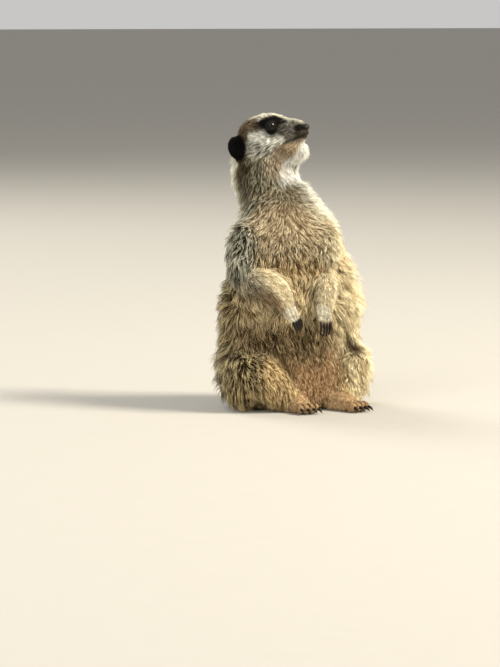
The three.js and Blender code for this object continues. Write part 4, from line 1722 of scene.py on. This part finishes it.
@dataclass(frozen=True)
class Claws:
    """The four claws of one foot, rounded from their solids."""

    name: str
    nodes: tuple[str, ...]
    rounds: int = 2
    into_toe: float = 1.8
    swell: float = 0.3

    def build(self) -> bpy.types.Object:
        """Makes the claws.

        Returns:
            The claws as one object, with how far along its claw each point lies.
        """
        parts, along = [], []
        for node in self.nodes:
            obj = new_object("claw_work", *node_triangles(node))
            smooth = obj.modifiers.new("round", "SUBSURF")
            smooth.levels = smooth.render_levels = self.rounds
            baked(obj)
            shape = Surface.of(obj.data)
            way = main_way(shape.points)
            way = way if way[1] < 0 else -way
            reach = (shape.points - shape.points.mean(axis=0)) @ way
            share = (reach - reach.min()) / np.ptp(reach)
            along.append(share)
            thick = shape.points + shape.normals() * (self.swell * step(1.0, 0.7, share))[:, None]
            parts.append((thick - way * (self.into_toe * step(0.3, 0.0, share))[:, None], shape.tris))
            bpy.data.objects.remove(obj)
        obj = new_object(self.name, *merged(parts))
        set_values(obj.data, "along", np.concatenate(along))
        return obj


@dataclass
class Whiskers:
    """The whiskers of the muzzle and the bristles over the eyes, as fine tapered rods along bent lines."""

    skin: Skin
    rows: int = 3
    in_row: int = 4
    length: float = 17.0
    brow_length: float = 9.0
    radius: float = 0.11
    tip_share: float = 0.12
    sides: int = 6
    knots: int = 9

    def build(self, material: bpy.types.Material) -> bpy.types.Object:
        """Makes the rods.

        Args:
            material: what they are made of.

        Returns:
            The rods as one plain mesh.
        """
        lines = self.lines()
        starts = range(0, len(lines) * self.knots, self.knots)
        edges = [(start + k, start + k + 1) for start in starts for k in range(self.knots - 1)]
        mesh = bpy.data.meshes.new("whiskers")
        mesh.from_pydata((np.vstack(lines) * MM).tolist(), edges, [])
        obj = placed("whiskers", mesh)
        tree, sockets = self.tree()
        rods = obj.modifiers.new("rods", "NODES")
        rods.node_group = tree
        rods[sockets["Root Radius"]] = self.radius * MM
        rods[sockets["Sides"]] = self.sides
        rods[sockets["Material"]] = material
        return baked(obj)

    def lines(self) -> list[np.ndarray]:
        """The rods' centre lines, in the model's frame."""
        rng = np.random.default_rng(SEED + 1)
        tree = self.skin.surface.tree()
        out = []
        for side in Side:
            for row in range(self.rows):
                for k in range(self.in_row):
                    at = np.array([side.value * 9.0, -36.5 + 2.6 * k, 2.2 - 2.1 * row + 0.3 * k])
                    way = np.array([side.value * 1.0, 0.35 + 0.18 * k, 0.12 - 0.3 * row])
                    length = self.length * (0.6 + 0.13 * k) * rng.uniform(0.85, 1.15)
                    out.append(self.line(tree, at, way, length, rng))
            for k in range(4):
                at = np.array([side.value * (11.0 + 0.6 * k), -21.0 + 2.6 * k, 21.0])
                way = np.array([side.value * 0.5, 0.5 + 0.1 * k, 0.8])
                out.append(self.line(tree, at, way, self.brow_length * rng.uniform(0.7, 1.2), rng))
        return out

    def line(
        self, tree: BVHTree, at: np.ndarray, way: np.ndarray, length: float, rng: np.random.Generator
    ) -> np.ndarray:
        """One bent line that starts just inside the skin.

        Args:
            tree: the skin's triangles.
            at: a point near its root, in the head's frame.
            way: where it points, in the head's frame.
            length: how long it is, in mm.
            rng: the random numbers.

        Returns:
            Its knots, in the model's frame.
        """
        start, normal, _, _ = tree.find_nearest(HEAD.to_model(at[None])[0].tolist())
        ahead = unit(HEAD.turn() @ unit(way + rng.normal(0, 0.08, 3)))
        s = np.linspace(0, 1, self.knots)[:, None]
        fall = np.array([0.0, 0.0, -0.16]) * length * s**2
        return np.array(start) - np.array(normal) * 0.4 + ahead * length * s + fall

    def tree(self) -> tuple[bpy.types.NodeTree, dict[str, str]]:
        """The nodes that turn lines into tapered rods.

        Returns:
            The tree, and the identifier of each of its inputs.
        """
        tree = bpy.data.node_groups.new("tapered_rods", "GeometryNodeTree")
        face = tree.interface
        face.new_socket("Geometry", in_out="OUTPUT", socket_type="NodeSocketGeometry")
        inputs = {"Geometry": "Geometry", "Root Radius": "Float", "Sides": "Int", "Material": "Material"}
        ids = {}
        for name, kind in inputs.items():
            ids[name] = face.new_socket(name, in_out="INPUT", socket_type=f"NodeSocket{kind}").identifier
        nodes = wired(
            tree,
            {
                "start": "NodeGroupInput",
                "curve": "GeometryNodeMeshToCurve",
                "along": "GeometryNodeSplineParameter",
                "taper": "ShaderNodeMapRange",
                "size": "GeometryNodeSetCurveRadius",
                "ring": "GeometryNodeCurvePrimitiveCircle",
                "tube": "GeometryNodeCurveToMesh",
                "even": "GeometryNodeSetShadeSmooth",
                "real": "GeometryNodeRealizeInstances",
                "dress": "GeometryNodeSetMaterial",
                "end": "NodeGroupOutput",
            },
            (
                ("start.Geometry", "curve.Mesh"),
                ("along.Factor", "taper.Value"),
                ("curve.Curve", "size.Curve"),
                ("taper.Result", "size.Radius"),
                ("start.Sides", "ring.Resolution"),
                ("start.Root Radius", "ring.Radius"),
                ("size.Curve", "tube.Curve"),
                ("ring.Curve", "tube.Profile Curve"),
                ("taper.Result", "tube.Scale"),
                ("tube.Mesh", "even.Geometry"),
                ("even.Geometry", "real.Geometry"),
                ("real.Geometry", "dress.Geometry"),
                ("start.Material", "dress.Material"),
                ("dress.Geometry", "end.Geometry"),
            ),
        )
        nodes["taper"].inputs["To Min"].default_value = 1.0
        nodes["taper"].inputs["To Max"].default_value = self.tip_share
        nodes["tube"].inputs["Fill Caps"].default_value = True
        return tree, ids


def wired(
    tree: bpy.types.NodeTree, kinds: dict[str, str], links: Sequence[tuple[str, str]]
) -> dict[str, bpy.types.Node]:
    """Adds nodes to a tree and links them.

    Args:
        tree: the tree.
        kinds: each node's name here, with its type and, after a space, its operation.
        links: pairs of sockets from start to end, each as a node's name, a dot, and the socket's name or number.

    Returns:
        The nodes by name.
    """
    nodes = {}
    for name, made_as in kinds.items():
        kind, _, operation = made_as.partition(" ")
        nodes[name] = tree.nodes.new(kind)
        if operation:
            nodes[name].operation = operation
    for start, end in links:
        (a, out), (b, into) = start.split("."), end.split(".")
        outputs, inputs = nodes[a].outputs, nodes[b].inputs
        tree.links.new(
            outputs[int(out) if out.isdigit() else out],
            inputs[int(into) if into.isdigit() else into],
        )
    return nodes


def grain_group() -> bpy.types.NodeTree:
    """The shared fine unevenness: it varies a colour and gives a height.

    Returns:
        A group with inputs Colour, Size and Strength, and outputs Colour and Height.
    """
    known = bpy.data.node_groups.get("fine_grain")
    if known is not None:
        return known
    tree = bpy.data.node_groups.new("fine_grain", "ShaderNodeTree")
    sockets = {"INPUT": {"Colour": "Color", "Size": "Float", "Strength": "Float"}}
    sockets["OUTPUT"] = {"Colour": "Color", "Height": "Float"}
    for way, kinds in sockets.items():
        for name, kind in kinds.items():
            tree.interface.new_socket(name, in_out=way, socket_type=f"NodeSocket{kind}")
    nodes = wired(
        tree,
        {
            "start": "NodeGroupInput",
            "place": "ShaderNodeTexCoord",
            "noise": "ShaderNodeTexNoise",
            "spread": "ShaderNodeMath SUBTRACT",
            "level": "ShaderNodeMath MULTIPLY",
            "lift": "ShaderNodeMath ADD",
            "mix": "ShaderNodeVectorMath SCALE",
            "end": "NodeGroupOutput",
        },
        (
            ("place.Object", "noise.Vector"),
            ("start.Size", "noise.Scale"),
            ("noise.Fac", "spread.0"),
            ("spread.0", "level.0"),
            ("start.Strength", "level.1"),
            ("level.0", "lift.0"),
            ("start.Colour", "mix.0"),
            ("lift.0", "mix.Scale"),
            ("mix.0", "end.Colour"),
            ("noise.Fac", "end.Height"),
        ),
    )
    nodes["noise"].inputs["Detail"].default_value = 3.0
    nodes["spread"].inputs[1].default_value = 0.5
    nodes["lift"].inputs[1].default_value = 1.0
    return tree


class Dressing:
    """A material under construction: its nodes, its links and its Principled shader."""

    def __init__(self, name: str) -> None:
        """Starts the material.

        Args:
            name: the material's name.
        """
        self.material = bpy.data.materials.new(name)
        self.material.use_nodes = True
        self.nodes = self.material.node_tree.nodes
        self.shader = next(n for n in self.nodes if n.type == "BSDF_PRINCIPLED")

    def add(self, kind: str) -> bpy.types.Node:
        """A new node of a kind."""
        return self.nodes.new(kind)

    def join(self, start: bpy.types.NodeSocket, end: bpy.types.NodeSocket) -> None:
        """Links two sockets."""
        self.material.node_tree.links.new(start, end)

    def attribute(self, name: str) -> bpy.types.Node:
        """A node that reads one of the piece's own attributes."""
        node = self.add("ShaderNodeAttribute")
        node.attribute_name = name
        return node

    def ramp(self, value: bpy.types.NodeSocket, stops: Sequence[tuple[float, Colour]]) -> bpy.types.NodeSocket:
        """Colours by a value.

        Args:
            value: the socket that gives the value.
            stops: each stop's place and colour, in order.

        Returns:
            The socket that gives the colour.
        """
        node = self.add("ShaderNodeValToRGB")
        elements = node.color_ramp.elements
        while len(elements) < len(stops):
            elements.new(0.5)
        for element, (place, colour) in zip(elements, stops):
            element.position = place
            element.color = (*linear(*colour), 1)
        self.join(value, node.inputs["Fac"])
        return node.outputs["Color"]

    def tune(self, values: dict[str, float]) -> None:
        """Sets the shader's own sockets to plain numbers."""
        for name, value in values.items():
            self.shader.inputs[name].default_value = value

    def paint(self, colour: bpy.types.NodeSocket, size: float, strength: float) -> bpy.types.Node:
        """Colours the surface by a socket, under the shared grain; the arguments are those of grain."""
        node = self.grain(colour, size, strength)
        self.join(node.outputs["Colour"], self.shader.inputs["Base Color"])
        return node

    def grain(self, colour: bpy.types.NodeSocket, size: float, strength: float) -> bpy.types.Node:
        """The shared grain over a colour.

        Args:
            colour: the socket that gives the colour.
            size: the grain's scale, in a metre.
            strength: how much it varies the colour.

        Returns:
            The group's node.
        """
        node = self.add("ShaderNodeGroup")
        node.node_tree = grain_group()
        node.inputs["Size"].default_value = size
        node.inputs["Strength"].default_value = strength
        self.join(colour, node.inputs["Colour"])
        return node

    def bump(self, height: bpy.types.NodeSocket, strength: float, distance: float) -> None:
        """Raises the surface by a height.

        Args:
            height: the socket that gives the height.
            strength: how strong the relief looks.
            distance: how high it is, in metres.
        """
        node = self.add("ShaderNodeBump")
        node.inputs["Strength"].default_value = strength
        node.inputs["Distance"].default_value = distance
        self.join(height, node.inputs["Height"])
        self.join(node.outputs["Normal"], self.shader.inputs["Normal"])


@dataclass(frozen=True)
class HairFinish:
    """The hair and the skin under it, coloured by the markings and by the painted light and shade."""

    name: str
    roughness: float = 0.68
    specular: float = 0.08
    grain_size: float = 900.0
    grain_strength: float = 0.5
    relief: float = 0.0

    def material(self) -> bpy.types.Material:
        """Makes the material."""
        dress = Dressing(self.name)
        grain = dress.paint(dress.attribute("marking").outputs["Color"], self.grain_size, self.grain_strength)
        dress.tune({"Roughness": self.roughness, "Specular IOR Level": self.specular})
        if self.relief:
            dress.bump(grain.outputs["Height"], 0.6, self.relief)
        return dress.material


@dataclass(frozen=True)
class EyeFinish:
    """The eyeball: black pupil, dark brown iris, darker rim, under a clear wet coat."""

    pupil: Colour = (4, 3, 3)
    iris: Colour = (27, 19, 15)
    iris_rim: Colour = (7, 5, 4)
    white: Colour = (12, 10, 9)
    pupil_deg: float = 17.0
    iris_deg: float = 37.0
    ramp_deg: float = 60.0
    roughness: float = 0.24
    wet: float = 0.3

    def material(self) -> bpy.types.Material:
        """Makes the material."""
        dress = Dressing("eye_glass")
        scale = dress.add("ShaderNodeMath")
        scale.operation = "DIVIDE"
        scale.inputs[1].default_value = self.ramp_deg
        dress.join(dress.attribute("gaze_angle").outputs["Fac"], scale.inputs[0])
        edge = self.iris_deg / self.ramp_deg
        stops = [
            (0.0, self.iris_rim),
            (0.3, self.iris),
            (edge - 0.06, self.iris),
            (edge, self.iris_rim),
            (edge + 0.07, self.white),
        ]
        ring = dress.ramp(scale.outputs[0], stops)
        hole = dress.add("ShaderNodeMapRange")
        hole.inputs["From Min"].default_value = self.pupil_deg - 1.5
        hole.inputs["From Max"].default_value = self.pupil_deg + 1.5
        dress.join(dress.attribute("pupil_gap").outputs["Fac"], hole.inputs["Value"])
        mix = dress.add("ShaderNodeMix")
        mix.data_type = "RGBA"
        mix.inputs["A"].default_value = (*linear(*self.pupil), 1)
        dress.join(hole.outputs["Result"], mix.inputs["Factor"])
        streak = dress.grain(ring, 2600.0, 0.5)
        dress.join(streak.outputs["Colour"], mix.inputs["B"])
        dress.join(mix.outputs["Result"], dress.shader.inputs["Base Color"])
        dress.tune({"Roughness": self.roughness, "Specular IOR Level": 0.08})
        dress.tune({"Coat Weight": self.wet, "Coat Roughness": 0.03, "Coat IOR": 1.4})
        return dress.material


@dataclass(frozen=True)
class NoseFinish:
    """The nose pad's damp pebbled leather."""

    pebble: float = 2300.0
    roughness: float = 0.55

    def material(self) -> bpy.types.Material:
        """Makes the material."""
        dress = Dressing("nose_leather")
        dress.paint(dress.attribute("marking").outputs["Color"], 1200.0, 0.5)
        place = dress.add("ShaderNodeTexCoord")
        cells = dress.add("ShaderNodeTexVoronoi")
        cells.inputs["Scale"].default_value = self.pebble
        dress.join(place.outputs["Object"], cells.inputs["Vector"])
        dress.bump(cells.outputs["Distance"], 0.5, 0.00012)
        dress.tune({"Roughness": self.roughness, "Specular IOR Level": 0.22})
        return dress.material


@dataclass(frozen=True)
class ClawFinish:
    """The claws' dark horn, paler towards the tips."""

    base: Colour = (24, 17, 12)
    tip: Colour = (58, 45, 32)
    base_end: float = 0.35

    def material(self) -> bpy.types.Material:
        """Makes the material."""
        dress = Dressing("claw_horn")
        horn = dress.ramp(dress.attribute("along").outputs["Fac"], [(self.base_end, self.base), (1.0, self.tip)])
        grain = dress.paint(horn, 1500.0, 0.6)
        dress.bump(grain.outputs["Height"], 0.3, 0.0001)
        dress.tune({"Roughness": 0.5, "Specular IOR Level": 0.2})
        return dress.material


@dataclass(frozen=True)
class PlainFinish:
    """One matt colour with a little grain in it."""

    name: str
    colour: Colour
    roughness: float
    grain_size: float
    grain_strength: float

    def material(self) -> bpy.types.Material:
        """Makes the material."""
        dress = Dressing(self.name)
        base = dress.add("ShaderNodeRGB")
        base.outputs[0].default_value = (*linear(*self.colour), 1)
        dress.paint(base.outputs[0], self.grain_size, self.grain_strength)
        dress.tune({"Roughness": self.roughness})
        return dress.material


@dataclass(frozen=True)
class Viewpoint:
    """The camera: where it looks from, as an azimuth and a height in degrees, and how it is framed, in mm."""

    azimuth: float = -30.0
    height: float = 5.5
    across: float = -38.7
    over: float = 64.35
    distance: float = 3000.0
    lens: float = 180.0

    def axes(self) -> tuple[np.ndarray, np.ndarray, np.ndarray]:
        """The way to its right, up, and the way that it looks."""
        turn, tilt = math.radians(self.azimuth), math.radians(self.height)
        right = np.array([math.cos(turn), math.sin(turn), 0.0])
        level = np.array([-math.sin(turn), math.cos(turn), 0.0])
        look = level * math.cos(tilt) - np.array([0, 0, math.sin(tilt)])
        return right, np.cross(right, look), look

    def build(self) -> None:
        """Makes the scene's camera."""
        right, up, look = self.axes()
        data = bpy.data.cameras.new("camera")
        data.lens = self.lens
        data.clip_start, data.clip_end = 0.1, 300.0
        camera = placed("camera", data)
        aim = right * self.across + up * self.over
        camera.matrix_world = Matrix.Translation(Vector((aim - look * self.distance) * MM)) @ Matrix(
            np.column_stack([right, up, -look]).tolist()
        ).to_4x4()
        bpy.context.scene.camera = camera


@dataclass(frozen=True)
class Lamp:
    """A soft square light: to the camera's right, towards it and up from the model, in metres."""

    name: str
    right: float
    near: float
    up: float
    size: float
    power: float
    colour: Triple

    def build(self, view: Viewpoint) -> None:
        """Makes the light.

        Args:
            view: the camera that right and near are measured from.
        """
        right, _, look = view.axes()
        flat = unit(look * [1, 1, 0])
        at = right * self.right - flat * self.near + np.array([0, 0, self.up])
        data = bpy.data.lights.new(self.name, "AREA")
        data.size, data.energy, data.color = self.size, self.power, self.colour
        lamp = placed(self.name, data)
        lamp.location = at
        lamp.rotation_euler = Vector(at - np.array([0, 0, 0.14])).to_track_quat("Z", "Y").to_euler()


@dataclass(frozen=True)
class Studio:
    """The floor, the soft lights and the pale surroundings."""

    view: Viewpoint
    floor_half: float = 60.0
    surround: Triple = (0.93, 0.92, 0.9)
    surround_power: float = 0.62
    lamps: tuple[Lamp, ...] = (
        Lamp("key", 2.45, 0.55, 2.56, 1.1, 268.0, (1.0, 0.94, 0.82)),
        Lamp("fill", -1.8, 3.4, 2.06, 2.8, 104.0, (1.0, 0.97, 0.92)),
        Lamp("rim", -1.8, -2.6, 2.46, 1.6, 104.0, (1.0, 0.97, 0.9)),
    )

    def build(self) -> None:
        """Makes the floor, the lights and the world."""
        size = self.floor_half / MM
        corners = np.array([[-size, -size, 0], [size, -size, 0], [size, size, 0], [-size, size, 0]])
        floor = new_object("floor", corners, [[0, 1, 2, 3]])
        floor.data.materials.append(PlainFinish("floor_paint", (160, 156, 148), 0.85, 40.0, 0.04).material())
        for lamp in self.lamps:
            lamp.build(self.view)
        world = bpy.data.worlds.new("surround")
        world.use_nodes = True
        back = world.node_tree.nodes["Background"]
        back.inputs["Color"].default_value = (*self.surround, 1)
        back.inputs["Strength"].default_value = self.surround_power
        bpy.context.scene.world = world
        bpy.context.scene.view_settings.view_transform = "Standard"


@dataclass
class Meerkat:
    """The whole model."""

    skin_finish: HairFinish = HairFinish("skin_hide", relief=0.0002, grain_size=1400.0)
    coat_finish: HairFinish = HairFinish("coat_hair")
    hide_shares: Pair = (0.45, 0.35)
    slots: dict[str, str] = field(
        default_factory=lambda: {
            "coat_face": "coat_face",
            "coat_ears": "ear",
            "coat_tail": "coat_pale",
            "coat_foot": "coat_pale",
            "coat_arm": "coat_pale",
        }
    )

    def build(self) -> None:
        """Makes every piece and hangs it on the frame."""
        skin = Skin()
        hide = skin.build()
        growth = Growth(skin)
        root, body = self.hide_shares
        set_values(hide.data, "marking", growth.rows[:, 0:3] * root + growth.rows[:, 3:6] * body)
        self.add(hide, self.skin_finish.material(), "coat_grizzled", *FLESH)
        hair = self.coat_finish.material()
        for piece in Coat(growth).build():
            slot = next((s for start, s in self.slots.items() if piece.name.startswith(start)), "coat_grizzled")
            self.add(piece, hair, slot)
        glass = EyeFinish().material()
        for shape in EYE_SHAPES:
            self.add(Eyeball(shape).build(), glass, "eye", f"eye_{shape.side.letter}")
        self.add(NOSE.build(), NoseFinish().material(), "nose_pad", "nose")
        horn = ClawFinish().material()
        for side in Side:
            for foot in ("fore", "hind"):
                nodes = tuple(n for n in CLAWS if n.startswith(f"{foot}_claw_{side.letter}"))
                self.add(Claws(f"claws_{foot}_{side.letter}", nodes).build(), horn, "claw", *nodes)
        bristle = PlainFinish("bristle", (60, 50, 40), 0.45, 900.0, 0.2).material()
        self.add(Whiskers(skin).build(bristle), bristle, "coat_dark")

    def add(self, piece: bpy.types.Object, material: bpy.types.Material, slot: str, *nodes: str) -> None:
        """Dresses a piece and hangs it on the frame.

        Args:
            piece: the piece.
            material: what it is made of.
            slot: not used.
            nodes: the nodes that it stands for.
        """
        piece.data.materials.clear()
        piece.data.materials.append(material)
        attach(piece, "root")
        if nodes:
            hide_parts(*nodes)
        piece.data.calc_loop_triangles()
        log.info("%s: %d triangles", piece.name, len(piece.data.loop_triangles))


def main() -> None:
    """Builds the model, the camera and the studio."""
    logging.basicConfig(level=logging.INFO, format="%(name)s %(message)s")
    Meerkat().build()
    view = Viewpoint()
    view.build()
    Studio(view).build()


if __name__ == "__main__":
    main()
